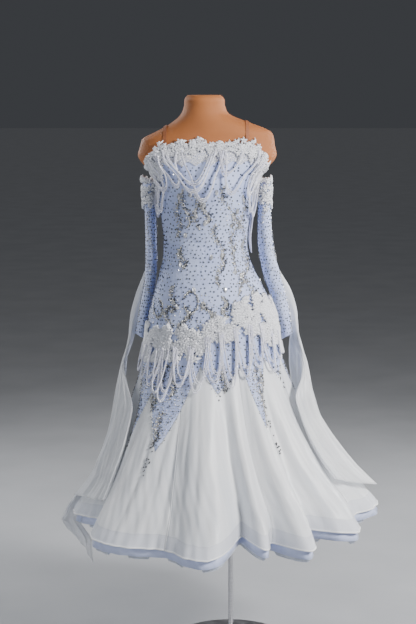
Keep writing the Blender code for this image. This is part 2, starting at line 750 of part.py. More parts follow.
def stand(finish, collection):
    """A turned base disc with a soft edge, and a pole up to the form's underside."""
    bpy.ops.mesh.primitive_cylinder_add(vertices=40, radius=BASE_RADIUS, depth=BASE_HEIGHT)
    base = bpy.context.object
    base.name = "stand_base"
    base.data.transform(base.matrix_world.inverted())
    base.location = (0.0, 0.0, BASE_HEIGHT / 2)
    edge = base.modifiers.new("soft edge", "BEVEL")
    edge.width = BASE_EDGE
    edge.segments = 1
    edge.limit_method = "ANGLE"
    length = FORM_BOTTOM - BASE_HEIGHT - 2 * POLE_GAP
    bpy.ops.mesh.primitive_cylinder_add(vertices=16, radius=POLE_RADIUS, depth=length)
    pole = bpy.context.object
    pole.name = "stand_pole"
    pole.location = (0.0, 0.0, BASE_HEIGHT + POLE_GAP + length / 2)
    for thing in (base, pole):
        thing.data.materials.append(finish)
        for owner in thing.users_collection:
            owner.objects.unlink(thing)
        collection.objects.link(thing)


def build_dress():
    for thing in list(bpy.data.objects):
        bpy.data.objects.remove(thing, do_unlink=True)
    dress = bpy.data.collections.new("ballroom_dance_dress")
    cutters = bpy.data.collections.new("cutters")
    for group in (dress, cutters):
        bpy.context.scene.collection.children.link(group)
    cutters.hide_render = True

    ice = material("ice_blue_stretch", (0.56, 0.65, 0.91), 0.55)
    organza = material("white_organza", (0.86, 0.88, 0.92), 0.42)
    net = material("petticoat_net", (0.62, 0.70, 0.86), 0.60)
    lace = material("white_beaded_lace", (0.88, 0.88, 0.90), 0.45)
    beads = material("white_beads", (0.90, 0.90, 0.93), 0.22)
    nude = material("nude_elastic", (0.62, 0.38, 0.24), 0.60)
    tan = material("tan_form_cloth", (0.55, 0.24, 0.10), 0.75)
    steel = material("brushed_steel", (0.55, 0.55, 0.56), 0.30, 1.0)

    stand(steel, dress)
    form = form_body(tan, dress)
    for name, across in STRAPS:
        shoulder_strap(name, across, form, nude, dress)
    bodice_panel("bodice_front", -90, 90, ice, dress)
    bodice_panel("bodice_back", 90, 270, ice, dress)
    for name, start, end in GORES:
        skirt_gore(name, start, end, organza, dress)
    for end_name, start, end in (("front", -90, 90), ("back", 90, 270)):
        inner_skirt(f"underskirt_{end_name}", start, end, UNDERSKIRT_TOP, UNDERSKIRT_DROP,
                    UNDERSKIRT_OFF, 0.0, organza, dress)
        inner_skirt(f"petticoat_{end_name}", start, end, PETTICOAT_TOP, PETTICOAT_DROP,
                    PETTICOAT_OFF, PETTICOAT_STEP, net, dress)
        lace_band(f"neck_lace_{end_name}", start, end, LACE_OFF[end_name], lambda a: along(a, NECKLINE),
                  lambda a: along(a, NECKLINE) - NECK_LACE_DEPTH, 4, lace, dress)
        lace_band(f"hip_lace_{end_name}", start, end, LACE_OFF[end_name],
                  lambda a: along(a, HIP_LACE[:, (0, 2)]), lambda a: along(a, HIP_LACE), 3, lace, dress)
    for name, table, side in (("left", SLEEVE_LEFT, -1), ("right", SLEEVE_RIGHT, 1)):
        sleeve(f"sleeve_{name}", table, ice, dress)
        sleeve_lace(f"sleeve_lace_{name}", table, lace, dress)
    float_panel("sleeve_float_left", SLEEVE_LEFT, FLOAT_LEFT, -1, organza, dress)
    float_panel("sleeve_float_right", SLEEVE_RIGHT, FLOAT_RIGHT, 1, organza, dress)
    bead_swags("neck_swags", lambda a: along(a, NECKLINE) - 0.016, NECK_SWAG_OFF, NECK_LOOPS, beads,
               dress, cutters)
    bead_swags("hip_swags", lambda a: along(a, HIP_LACE[:, (0, 3)]), HIP_SWAG_OFF, HIP_LOOPS, beads,
               dress, cutters)


build_dress()
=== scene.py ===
# %% [markdown]
# # A ballroom dance dress on a dress form
# The dress has a stretch bodice set with crystals, white lace at the neckline and hips, loops of
# beads, loose sleeves with long floats and a skirt of wide organza godets. The solid model of the
# same dress is loaded first. Every surface below lies on its forms, in metres, with the front
# towards -Y. Angles round the figure are in degrees: 0 is the front and 90 the picture's right.

import bpy
import numpy as np
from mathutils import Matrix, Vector


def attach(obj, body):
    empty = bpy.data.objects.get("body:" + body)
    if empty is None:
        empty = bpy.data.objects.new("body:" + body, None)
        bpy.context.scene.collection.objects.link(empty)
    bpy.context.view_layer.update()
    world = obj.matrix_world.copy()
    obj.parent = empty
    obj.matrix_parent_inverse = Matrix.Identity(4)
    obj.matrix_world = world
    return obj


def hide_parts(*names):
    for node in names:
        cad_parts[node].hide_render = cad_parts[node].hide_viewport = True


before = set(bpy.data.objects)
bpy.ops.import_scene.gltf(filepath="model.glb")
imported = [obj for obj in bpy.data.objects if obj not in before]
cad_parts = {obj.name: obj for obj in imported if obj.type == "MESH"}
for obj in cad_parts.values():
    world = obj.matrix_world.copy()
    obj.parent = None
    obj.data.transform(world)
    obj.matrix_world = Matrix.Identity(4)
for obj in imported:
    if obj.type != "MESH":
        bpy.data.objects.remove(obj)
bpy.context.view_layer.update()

# %% [markdown]
# ## The figure's sections
# A clothed figure is well described by its sections: one ellipse at each height, deeper in front
# than behind. A smooth curve through a short table gives the section at any height. The skirt's
# folds are added to the ellipse as waves that grow towards the hem.

# %% Section tables
FIGURE = np.array([
    (1.5400, -0.0690, 0.1960, 0.078, 0.090), (1.5150, -0.0705, 0.2040, 0.090, 0.096),
    (1.4910, -0.0715, 0.2080, 0.101, 0.098), (1.4670, -0.0720, 0.1920, 0.111, 0.098),
    (1.4430, -0.0725, 0.1620, 0.120, 0.097), (1.4130, -0.0725, 0.1440, 0.127, 0.095),
    (1.3500, -0.0760, 0.1350, 0.114, 0.091), (1.2990, -0.0765, 0.1280, 0.102, 0.086),
    (1.2400, -0.0765, 0.1225, 0.095, 0.084), (1.1900, -0.0740, 0.1280, 0.099, 0.093),
    (1.1300, -0.0680, 0.1490, 0.111, 0.111), (1.0830, -0.0620, 0.1680, 0.120, 0.124),
    (1.0200, -0.0575, 0.1860, 0.128, 0.135), (0.9400, -0.0555, 0.1970, 0.138, 0.146),
    (0.9000, -0.0550, 0.2050, 0.148, 0.155), (0.8000, -0.0520, 0.2320, 0.185, 0.190),
    (0.6630, -0.0430, 0.2850, 0.252, 0.255), (0.5430, -0.0290, 0.3500, 0.322, 0.325),
    (0.4800, -0.0200, 0.3910, 0.365, 0.368), (0.4200, -0.0200, 0.4190, 0.398, 0.401),
    (0.3600, -0.0220, 0.4360, 0.420, 0.422),
])
NECK = np.array([
    (1.6680, -0.0800, 0.0480, 0.046, 0.054), (1.6610, -0.0795, 0.0550, 0.053, 0.061),
    (1.6350, -0.0790, 0.0600, 0.057, 0.064), (1.6110, -0.0765, 0.0730, 0.061, 0.070),
    (1.5890, -0.0610, 0.1130, 0.066, 0.077), (1.5660, -0.0520, 0.1610, 0.071, 0.084),
])
NECKLINE = np.array([
    (-180, 1.430), (-120, 1.420), (-96, 1.405), (-80, 1.428), (-60, 1.468), (-42, 1.517),
    (0, 1.523), (42, 1.523), (56, 1.476), (80, 1.430), (96, 1.405), (120, 1.420), (180, 1.430),
])
HIP_SEAM = np.array([
    (-180, 0.700), (-157, 0.890), (-138, 0.725), (-115, 0.890), (-98, 0.770), (-80, 0.885),
    (-62, 0.680), (-50, 0.815), (-37, 0.655), (-10, 0.894), (3, 0.815), (24, 0.897), (33, 0.722),
    (47, 0.910), (62, 0.850), (76, 0.900), (94, 0.760), (115, 0.890), (138, 0.725), (157, 0.890),
    (180, 0.700),
])
# Folds of the skirt: angle, height of a crest or depth of a trough
FOLDS = np.array([
    (-180, -0.050), (-168, 0.046), (-157, -0.050), (-146, 0.044), (-135, -0.052), (-124, 0.046),
    (-112, -0.048), (-101, 0.040), (-73, -0.045), (-52, 0.046), (-24, -0.002), (-6, 0.060),
    (8, -0.078), (15, 0.012), (21, -0.055), (31, 0.044), (41, -0.066), (57, 0.042), (70, -0.012),
    (88, 0.070), (105, -0.050), (118, 0.044), (131, -0.052), (144, 0.046), (156, -0.050),
    (168, 0.046), (180, -0.050),
])
FOLD_GROWTH = np.array([
    (0.36, 1.22), (0.40, 1.10), (0.44, 0.88), (0.49, 0.68), (0.54, 0.55), (0.66, 0.36),
    (0.80, 0.12), (0.91, 0.0),
])
HEM = np.array([
    (-180, 0.425), (-130, 0.425), (-101, 0.402), (-73, 0.420), (-52, 0.410), (-6, 0.407),
    (8, 0.434), (15, 0.418), (31, 0.412), (41, 0.434), (57, 0.424), (78, 0.446), (95, 0.460),
    (130, 0.445), (180, 0.425),
])
# Hip lace and its bead strip: angle, the lace's lower edge, its upper edge, the strip's height
HIP_LACE = np.array([
    (-180, 0.945, 1.015, 0.985), (-110, 0.915, 1.000, 0.965), (-90, 0.885, 0.985, 0.940),
    (-50, 0.890, 0.985, 0.940), (-14, 0.905, 0.990, 0.950), (-4, 0.950, 1.015, 0.985),
    (16, 0.960, 1.025, 0.995), (24, 0.980, 1.070, 1.015), (44, 0.975, 1.080, 1.010),
    (62, 0.925, 1.080, 0.985), (90, 0.905, 1.050, 0.975), (120, 0.940, 1.020, 0.985),
    (180, 0.945, 1.015, 0.985),
])
CREST_ROUNDNESS = 1.3
print("sections:", len(FIGURE), "folds:", (len(FOLDS) - 1) // 2)

# %% Section functions
def smooth_at(z, table, column):
    """A cubic through the table's rows: two end values and two end slopes blend inside a step."""
    rows = table[np.argsort(table[:, 0])]
    zs = rows[:, 0]
    values = rows[:, column]
    slopes = np.gradient(values, zs)
    z = np.clip(z, zs[0], zs[-1])
    i = np.clip(np.searchsorted(zs, z) - 1, 0, len(zs) - 2)
    width = zs[i + 1] - zs[i]
    u = (z - zs[i]) / width
    start = values[i] * (1 + 2 * u) * (1 - u) ** 2 + slopes[i] * width * u * (1 - u) ** 2
    return start + values[i + 1] * u * u * (3 - 2 * u) - slopes[i + 1] * width * u * u * (1 - u)


def along(angle, table, column=1):
    """Straight runs between rows of angle and height, repeated every full turn."""
    turned = (np.asarray(angle, float) + 180.0) % 360.0 - 180.0
    return np.interp(turned, table[:, 0], table[:, column])


def fold_height(angle):
    """Half a cosine from crest to trough, measured from the crest and made fuller there."""
    turned = (np.asarray(angle, float) + 180.0) % 360.0 - 180.0
    at = FOLDS[:, 0]
    i = np.clip(np.searchsorted(at, turned, side="right") - 1, 0, len(at) - 2)
    u = (turned - at[i]) / (at[i + 1] - at[i])
    start = FOLDS[i, 1]
    end = FOLDS[i + 1, 1]
    from_crest = np.where(start > end, u, 1 - u)
    share = (1 - np.cos(np.pi * from_crest**CREST_ROUNDNESS)) / 2
    return np.maximum(start, end) - np.abs(start - end) * share


def on_figure(angle, z, off=0.0):
    """An ellipse at each height: middle + (half width + out) sin, -(depth + out) cos."""
    turn = np.radians(angle)
    ahead = np.cos(turn)
    depth = np.where(ahead > 0, smooth_at(z, FIGURE, 3), smooth_at(z, FIGURE, 4))
    growth = np.interp(z, FOLD_GROWTH[:, 0], FOLD_GROWTH[:, 1])
    out = off + fold_height(angle) * growth
    x = smooth_at(z, FIGURE, 1) + (smooth_at(z, FIGURE, 2) + out) * np.sin(turn)
    y = -(depth + out) * ahead
    return np.stack([x, y, z + 0 * x], axis=-1)


def normal_at(surface, a, b, step_a, step_b):
    """The cross product of two short steps over a surface, made one long."""
    across = surface(a + step_a, b) - surface(a - step_a, b)
    up = surface(a, b + step_b) - surface(a, b - step_b)
    way = np.cross(across, up)
    return way / np.linalg.norm(way, axis=-1, keepdims=True)


def front_angle(x, z):
    """The angle at which the front of the figure has this x: arc sine of x over half width."""
    share = (x - smooth_at(z, FIGURE, 1)) / smooth_at(z, FIGURE, 2)
    return np.degrees(np.arcsin(np.clip(share, -0.999, 0.999)))


print("waist half width:", round(float(smooth_at(1.24, FIGURE, 2)), 4))

# %% [markdown]
# ## From grids to meshes
# A surface is a grid of points. Its rows run from the bottom up and its columns to the right as
# seen from outside, so that every face looks outwards. Each corner also keeps how far it lies
# across and up the cloth, in metres, so that a weave can follow the cloth.

# %% Mesh helpers
def linked(name, data):
    """An object for this data, put into the scene."""
    thing = bpy.data.objects.new(name, data)
    bpy.context.scene.collection.objects.link(thing)
    return thing


def new_object(name, points, faces, uv=None):
    """One mesh object from arrays of points and of faces that all have the same corner count."""
    mesh = bpy.data.meshes.new(name)
    faces = np.asarray(faces, int)
    mesh.from_pydata(points.reshape(-1, 3).tolist(), [], faces.tolist())
    if uv is not None:
        layer = mesh.uv_layers.new(name="cloth")
        layer.data.foreach_set("uv", uv.reshape(-1, 2)[faces.ravel()].astype(np.float32).ravel())
    mesh.shade_smooth()
    return linked(name, mesh)


def grid_faces(rows, columns, closed=False):
    """The four corners of each cell of a grid, joined round the back where it is closed."""
    across = columns if closed else columns - 1
    row, column = np.meshgrid(np.arange(rows - 1), np.arange(across), indexing="ij")
    beside = (column + 1) % columns
    return np.stack([
        row * columns + column, row * columns + beside,
        (row + 1) * columns + beside, (row + 1) * columns + column,
    ], axis=-1).reshape(-1, 4)


def steps_between(points, axis):
    """Lengths of the steps from each point of a grid to the next one along an axis."""
    return np.linalg.norm(np.diff(points, axis=axis), axis=-1)


def cloth_uv(points):
    """Distance across, from the row's middle, and distance up from the hem."""
    across = np.cumsum(np.pad(steps_between(points, 1), ((0, 0), (1, 0))), axis=1)
    across -= across[:, -1:] / 2
    up = np.cumsum(np.pad(steps_between(points, 0), ((1, 0), (0, 0))), axis=0)
    return np.stack([across, up], axis=-1)


def add_wall(thing, wall):
    """Gives a surface its thickness, on its inside."""
    solid = thing.modifiers.new("wall", "SOLIDIFY")
    solid.thickness = wall
    solid.offset = -1.0


def shell(name, points, wall, closed=False):
    """A grid of points as cloth, with its wall laid on the inside."""
    rows, columns = points.shape[:2]
    thing = new_object(name, points, grid_faces(rows, columns, closed), cloth_uv(points))
    if wall:
        add_wall(thing, wall)
    return thing


def cloth_area(points):
    """Half the cross product of each cell's diagonals, added up."""
    one = points[1:, 1:] - points[:-1, :-1]
    other = points[1:, :-1] - points[:-1, 1:]
    return float(np.linalg.norm(np.cross(one, other), axis=-1).sum() / 2)


def finish(thing, material, slot, *nodes):
    """Gives a piece its material and hides the solids that it stands for; slot is not used."""
    thing.data.materials.append(material)
    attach(thing, "root")
    if nodes:
        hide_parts(*nodes)
    return thing


def piece(name, copied, material, slot, *nodes, flat=False):
    """A finished piece from points and faces; stones with cut facets are shaded flat."""
    thing = new_object(name, *copied)
    if flat:
        thing.data.shade_flat()
    return finish(thing, material, slot, *nodes)


def declare_cut(thing, points, stretch=1.0, closed=False):
    """States the cut of a cloth let go of: its widest level row, longest column and area."""
    around = np.concatenate([points, points[:, :1]], axis=1) if closed else points
    width = float(steps_between(around[..., :2], 1).sum(axis=1).max()) / stretch
    length = float(steps_between(around, 0).sum(axis=0).max()) / stretch
    area = min(cloth_area(around) / stretch**2, width * length)
    print(f"{thing.name}: cut {width:.3f} x {length:.3f} m, {area:.3f} m2")
    return area


# %% [markdown]
# ## Many small things at once
# Crystals and beads number in the thousands. One small shape is copied by array arithmetic: its
# points are scaled, turned into the frame of the cloth at each place and moved there, and all the
# copies become one mesh.

# %% Copies of a small shape
def frames_from(normals, upward=(0.0, 0.0, 1.0)):
    """Three axes at each place: side and up lie in the cloth and the third stands on it."""
    side = np.cross(np.broadcast_to(upward, normals.shape), normals)
    side /= np.maximum(np.linalg.norm(side, axis=-1, keepdims=True), 1e-9)
    return np.stack([side, np.cross(normals, side), normals], axis=-1)


def turned(axes, angles):
    """The same axes turned about the one that stands on the cloth, by angles in radians."""
    c = np.cos(angles)[:, None]
    s = np.sin(angles)[:, None]
    side = axes[:, :, 0] * c + axes[:, :, 1] * s
    up = axes[:, :, 1] * c - axes[:, :, 0] * s
    return np.stack([side, up, axes[:, :, 2]], axis=-1)


def copies(shape, places, axes, sizes):
    """place + axes (shape x size), for every place; faces are shifted by each copy's start."""
    points, faces = shape
    sizes = np.asarray(sizes, float)
    if sizes.ndim == 1:
        sizes = sizes[:, None]
    scaled = points[None] * sizes[:, None, :]
    moved = places[:, None, :] + np.einsum("nij,nkj->nki", axes, scaled)
    shift = np.arange(len(places))[:, None, None] * len(points)
    return moved.reshape(-1, 3), (faces[None] + shift).reshape(-1, faces.shape[1])


def joined(parts):
    """Several sets of copies as one set of points and faces."""
    start = 0
    all_points = []
    all_faces = []
    for points, faces in parts:
        all_points.append(points)
        all_faces.append(faces + start)
        start += len(points)
    return np.concatenate(all_points), np.concatenate(all_faces)


def ringed(heights, radii, sides, flat=1.0):
    """A closed turned shape of triangles: rings of corners between a lower and an upper point."""
    turn = np.arange(sides) * 2 * np.pi / sides
    rings = [np.stack([r * np.sin(turn), -flat * r * np.cos(turn), 0 * turn + h], axis=1)
             for h, r in zip(heights[1:-1], radii)]
    points = np.concatenate([[[0, 0, heights[0]]], *rings, [[0, 0, heights[-1]]]])
    i = np.arange(sides)
    j = (i + 1) % sides
    faces = [np.stack([0 * i, 1 + j, 1 + i], axis=1)]
    for level in range(len(rings) - 1):
        a = 1 + level * sides
        b = a + sides
        faces += [np.stack([a + i, a + j, b + j], axis=1), np.stack([a + i, b + j, b + i], axis=1)]
    last = 1 + (len(rings) - 1) * sides
    faces.append(np.stack([last + i, last + j, 0 * i + len(points) - 1], axis=1))
    return points.astype(float), np.concatenate(faces)


BEAD = ringed((-0.5, -0.25, 0.25, 0.5), (0.44, 0.44), 5)
SEED = ringed((-0.1, 0.2, 0.62), (0.5,), 5)
CRYSTAL = ringed((-0.1, 0.0, 0.28, 0.40), (0.5, 0.27), 5)
DROP = ringed((-0.1, 0.0, 0.30, 0.36), (0.5, 0.30), 8, flat=1.5)
LEAF = (np.array([
    (0, -0.5, 0), (0.2, -0.1, 0), (0.15, 0.25, 0), (0, 0.5, 0), (-0.15, 0.25, 0), (-0.2, -0.1, 0),
    (0, 0.0, 0.16), (0, 0.0, -0.04),
]), np.array([(i, (i + 1) % 6, 6) for i in range(6)] + [((i + 1) % 6, i, 7) for i in range(6)]))


# Share of the flower's reach and height of each ring, from the rim inwards
FLOWER_RINGS = ((1.0, 0.0), (0.62, 0.24), (0.22, 0.16))


def flower_shape(petals=5):
    """Rings whose radius swells with the petals: 0.16 + 0.34 |cos(petals angle / 2)| to the 0.8."""
    sides = 4 * petals
    turn = np.arange(sides) * 2 * np.pi / sides
    reach = 0.16 + 0.34 * np.abs(np.cos(petals * turn / 2)) ** 0.8
    _, faces = ringed((0.0,) * (len(FLOWER_RINGS) + 2), (1.0,) * len(FLOWER_RINGS), sides)
    outline = np.stack([reach * np.sin(turn), reach * np.cos(turn), 0 * turn], axis=1)
    rows = [outline * ring + (0, 0, height) for ring, height in FLOWER_RINGS]
    rows[0][:, 2] = 0.02 + 0.05 * np.cos(petals * turn)
    body = np.concatenate([[[0, 0, -0.05]], *rows, [[0, 0, 0.06]]])
    return body, faces[:, ::-1]


FLOWER = flower_shape()
print("faces:", {"bead": len(BEAD[1]), "crystal": len(CRYSTAL[1]), "flower": len(FLOWER[1])})

# %% [markdown]
# ## Writing shader maths as expressions
# A small class wraps one output of a node. Adding or multiplying two of them makes a Math node, so
# a pattern reads like a formula. Any other node comes from one method of the material's maker.

# %% Shader expressions
def operator(name, swapped=False):
    """A method that makes a Math node of a value and another one, in either order."""
    def combine(self, other):
        return self.maths(name, *((other, self) if swapped else (self, other)))

    return combine


class Value:
    """One output of a shader node, for use in expressions."""

    def __init__(self, maker, socket):
        self.maker = maker
        self.socket = socket

    def maths(self, operation, *values):
        return self.maker.node("ShaderNodeMath", {"operation": operation}, dict(enumerate(values)))

    __add__ = __radd__ = operator("ADD")
    __mul__ = __rmul__ = operator("MULTIPLY")
    __sub__ = operator("SUBTRACT")
    __rsub__ = operator("SUBTRACT", swapped=True)

    def wave(self):
        return self.maths("SINE", self)

    def clamp(self):
        return self.maker.node("ShaderNodeClamp", {}, {"Value": self})

    def above(self, low, high):
        """0 below low, 1 above high, and straight in between."""
        return self.maker.node("ShaderNodeMapRange", {}, {
            "Value": self, "From Min": low, "From Max": high, "To Min": 0.0, "To Max": 1.0})


class Maker:
    """Makes the nodes of one material round its Principled shader."""

    def __init__(self, name, **constants):
        self.material = bpy.data.materials.new(name)
        self.material.use_nodes = True
        self.tree = self.material.node_tree
        self.shader = self.tree.nodes["Principled BSDF"]
        for key, value in constants.items():
            self.shader.inputs[key.replace("_", " ")].default_value = value

    def node(self, kind, settings, values, output=0):
        made = self.tree.nodes.new(kind)
        for key, value in settings.items():
            setattr(made, key, value)
        for key, value in values.items():
            if isinstance(value, Value):
                self.tree.links.new(value.socket, made.inputs[key])
            else:
                made.inputs[key].default_value = value
        return Value(self, made.outputs[output])

    def place(self):
        return self.node("ShaderNodeTexCoord", {}, {}, "Object")

    def cloth(self, across, up):
        """The cloth's own coordinates, scaled: across and up, in metres."""
        uv = self.node("ShaderNodeUVMap", {"uv_map": "cloth"}, {})
        return self.node("ShaderNodeMapping", {}, {"Vector": uv, "Scale": (across, up, 1.0)})

    def split(self, vector):
        made = self.tree.nodes.new("ShaderNodeSeparateXYZ")
        self.tree.links.new(vector.socket, made.inputs[0])
        return [Value(self, socket) for socket in made.outputs]

    def noise(self, vector, scale, detail=3.0):
        return self.node("ShaderNodeTexNoise", {},
                         {"Vector": vector, "Scale": scale, "Detail": detail})

    def mix(self, share, first, second):
        made = self.tree.nodes.new("ShaderNodeMix")
        made.data_type = "RGBA"
        self.tree.links.new(share.socket, made.inputs[0])
        for index, colour in ((6, first), (7, second)):
            if isinstance(colour, Value):
                self.tree.links.new(colour.socket, made.inputs[index])
            else:
                made.inputs[index].default_value = (*colour, 1.0)
        return Value(self, made.outputs[2])

    def bump(self, height, distance, strength=1.0):
        return self.node("ShaderNodeBump", {},
                         {"Height": height, "Distance": distance, "Strength": strength})

    def feed(self, **links):
        for key, value in links.items():
            self.tree.links.new(value.socket, self.shader.inputs[key.replace("_", " ")])
        return self.material


# %% [markdown]
# ## The studio
# The picture is taken level with the shoulders from a few metres away, looking slightly down. The
# lens is chosen so that the form's height matches the picture. Soft light comes from above on the
# right, with a weaker one on the left and one behind that draws the edge of the white cloth.

# %% Camera, floor and lights
LOOKING_DOWN = 8.35

camera_data = bpy.data.cameras.new("camera")
camera_data.lens = 88.3
camera_data.sensor_fit = "VERTICAL"
camera_data.sensor_height = 36.0
camera = linked("camera", camera_data)
camera.location = (-0.069, -4.5, 1.69)
camera.rotation_euler = (np.radians(90 - LOOKING_DOWN), 0.0, 0.0)
bpy.context.scene.camera = camera


def area_light(name, place, aim, size, power, colour=(1, 1, 1)):
    """A soft square light at a place, turned to look at a point."""
    data = bpy.data.lights.new(name, "AREA")
    data.size = size
    data.energy = power
    data.color = colour
    lamp = linked(name, data)
    lamp.location = place
    lamp.rotation_euler = (Vector(aim) - Vector(place)).to_track_quat("-Z", "Y").to_euler()


area_light("key", (2.7, -2.1, 2.8), (0.0, 0.0, 1.0), 1.0, 260, (1.0, 0.98, 0.96))
area_light("fill", (-2.4, -2.2, 1.7), (0.0, 0.0, 0.9), 1.6, 30, (0.92, 0.95, 1.0))
area_light("edge_left", (-1.9, 1.7, 2.2), (0.0, 0.0, 1.0), 1.0, 60)
area_light("edge_right", (2.0, 1.6, 1.8), (0.0, 0.0, 0.9), 1.0, 60)
sky = bpy.data.lights.new("sky", "SUN")
sky.energy = 0.32
sky.angle = 1.2
linked("sky", sky)

world = bpy.data.worlds.new("studio")
world.use_nodes = True
surround = world.node_tree.nodes["Background"].inputs
surround["Color"].default_value = (0.17, 0.18, 0.20, 1.0)
surround["Strength"].default_value = 0.28
bpy.context.scene.world = world


def flat_floor(half=60.0):
    """A plain square floor, half a millimetre under the base."""
    x = np.linspace(-half, half, 3)
    return np.stack(np.broadcast_arrays(x[None], x[:, None], -0.0005), axis=-1)


paper = Maker("pale_paper", Roughness=0.85)
paper_tone = paper.noise(paper.place(), 3.0).above(0.3, 0.7)
paper.feed(Base_Color=paper.mix(paper_tone, (0.34, 0.35, 0.37), (0.38, 0.39, 0.41)))
floor = shell("floor", flat_floor(), 0)
floor.data.materials.append(paper.material)

# %% [markdown]
# ## Finishes of the cloths
# Stretch satin is matt with a soft sheen at grazing angles. Organza is a plain weave of fine
# twisted thread: it shines along its folds and lets light through, so its material mixes in some
# transparency. Its colour varies a little over each cloth as painted highlight along the folds and
# painted shade between them, as no two folds catch the same light.

# %% Stretch satin
def stretch_satin():
    """Ice-blue knit: fine ribs across the cloth's coordinates, with a faint uneven tone."""
    m = Maker("ice_blue_stretch", Roughness=0.52, Sheen_Weight=0.35, Sheen_Roughness=0.4)
    m.shader.inputs["Sheen Tint"].default_value = (0.85, 0.9, 1.0, 1.0)
    rib, course, _ = m.split(m.cloth(1.0, 1.0))
    knit = (rib * 5200.0).wave() * 0.5 + (course * 4200.0).wave() * 0.5
    tone = m.noise(m.place(), 14.0).above(0.35, 0.65)
    colour = m.mix(tone, (0.47, 0.55, 0.86), (0.56, 0.64, 0.92))
    creases = m.noise(m.cloth(26.0, 5.0), 1.6).above(0.25, 0.75)
    height = knit * 0.06 + creases
    return m.feed(Base_Color=colour, Normal=m.bump(height, 0.0016, 0.55),
                  Roughness=0.46 + 0.12 * tone)


# %% Organza
def organza(name, light, dark, alpha, band=True, folds=70.0, fade=False):
    """Thread across and up, streaks along the folds in relief and painted as highlight over painted
    shade, and a denser stiff band above the hem.
    """
    m = Maker(name, Sheen_Weight=0.45, Sheen_Roughness=0.3, Specular_IOR_Level=0.55)
    across, up, _ = m.split(m.cloth(1.0, 1.0))
    weave = (across * 3800.0).wave() * (up * 3800.0).wave()
    streak = m.noise(m.cloth(folds, 1.6), 1.0, 4.0).above(0.30, 0.72)
    cloud = m.noise(m.place(), 5.0, 2.0).above(0.35, 0.65)
    # The colour mixes painted shade (dark) and painted highlight (light): highlight along the fold
    # streaks and in broad uneven patches from the cloud.
    tone = (streak * 0.6 + cloud * 0.4).clamp()
    colour = m.mix(tone, dark, light)
    height = streak * 0.8 + weave * 0.05
    opacity = alpha + 0.10 * streak
    if fade:
        opacity = opacity * (0.55 + 0.45 * up.above(0.0, 0.10))
    if band:
        stiff = 1.0 - up.above(0.043, 0.046)
        edge = 1.0 - up.above(0.0045, 0.0055)
        mesh_lines = ((across + up) * 1500.0).wave() * ((across - up) * 1500.0).wave()
        colour = m.mix(stiff, colour, (0.87, 0.90, 0.97))
        colour = m.mix(edge, colour, (0.93, 0.94, 0.96))
        height = height + mesh_lines * stiff * 0.25 + up.above(0.042, 0.044) * 0.4
        opacity = (opacity - 0.16 * stiff + 0.4 * edge).clamp()
    return m.feed(Base_Color=colour, Normal=m.bump(height, 0.0012, 0.5), Alpha=opacity,
                  Roughness=0.30 + 0.16 * streak)


# %% Net, lace, beads, crystals, form cover and steel
def stiff_net():
    """A six-sided net drawn as two crossing sets of lines, open between them."""
    m = Maker("petticoat_net", Roughness=0.55, Sheen_Weight=0.3)
    across, up, _ = m.split(m.cloth(1.0, 1.0))
    lines = (((across * 1.7 + up) * 1100.0).wave() * ((across * 1.7 - up) * 1100.0).wave())
    streak = m.noise(m.cloth(60.0, 2.0), 1.0).above(0.3, 0.7)
    colour = m.mix(streak, (0.58, 0.66, 0.84), (0.80, 0.85, 0.95))
    return m.feed(Base_Color=colour, Alpha=(0.62 + 0.25 * lines).clamp(),
                  Normal=m.bump(lines, 0.0006, 0.4))


def corded_lace():
    """White cord on net: small cells stand proud, with painted shade in the hollows between them."""
    m = Maker("white_corded_lace", Roughness=0.5, Sheen_Weight=0.3)
    cells = m.node("ShaderNodeTexVoronoi", {"feature": "F1"}, {"Vector": m.place(), "Scale": 420.0})
    tone = cells.above(0.1, 0.6)
    # The grey towards each cell's edge is painted shade in the hollows; the same pattern gives the
    # bump.
    colour = m.mix(tone, (0.95, 0.95, 0.97), (0.82, 0.84, 0.90))
    return m.feed(Base_Color=colour, Normal=m.bump(1.0 - tone, 0.0007, 0.7))


def lace_ground():
    """The net under the flowers: round holes between threads let the bodice show."""
    m = Maker("lace_ground", Roughness=0.6, Sheen_Weight=0.3)
    cells = m.node("ShaderNodeTexVoronoi", {"feature": "DISTANCE_TO_EDGE"},
                   {"Vector": m.cloth(1.0, 1.0), "Scale": 210.0})
    thread = 1.0 - cells.above(0.05, 0.16)
    colour = m.mix(thread, (0.86, 0.88, 0.94), (0.93, 0.93, 0.96))
    return m.feed(Base_Color=colour, Alpha=(0.12 + 0.85 * thread).clamp(),
                  Normal=m.bump(thread, 0.0006, 0.6))


def pearly(name, light, dark, roughness, metal=0.0, coat=0.6):
    """Glass beads: tone changes from bead to bead under a clear coat."""
    m = Maker(name, Metallic=metal, Coat_Weight=coat, Coat_Roughness=0.08)
    tone = m.node("ShaderNodeTexWhiteNoise", {"noise_dimensions": "3D"},
                  {"Vector": m.node("ShaderNodeVectorMath", {"operation": "SNAP"},
                                    {0: m.place(), 1: (0.004, 0.004, 0.004)})})
    return m.feed(Base_Color=m.mix(tone, light, dark), Roughness=roughness + 0.12 * tone)


def form_cover():
    """Tan cloth drawn over the form: a plain weave with a worn, uneven tone."""
    m = Maker("tan_form_cover")
    across, up, _ = m.split(m.cloth(1.0, 1.0))
    weave = (across * 3300.0).wave() * (up * 3300.0).wave()
    tone = m.noise(m.place(), 9.0, 5.0).above(0.3, 0.7)
    colour = m.mix(tone, (0.36, 0.122, 0.034), (0.44, 0.155, 0.046))
    return m.feed(Base_Color=colour, Roughness=0.62 + 0.15 * tone,
                  Normal=m.bump(weave * 0.3 + tone, 0.0006, 0.5))


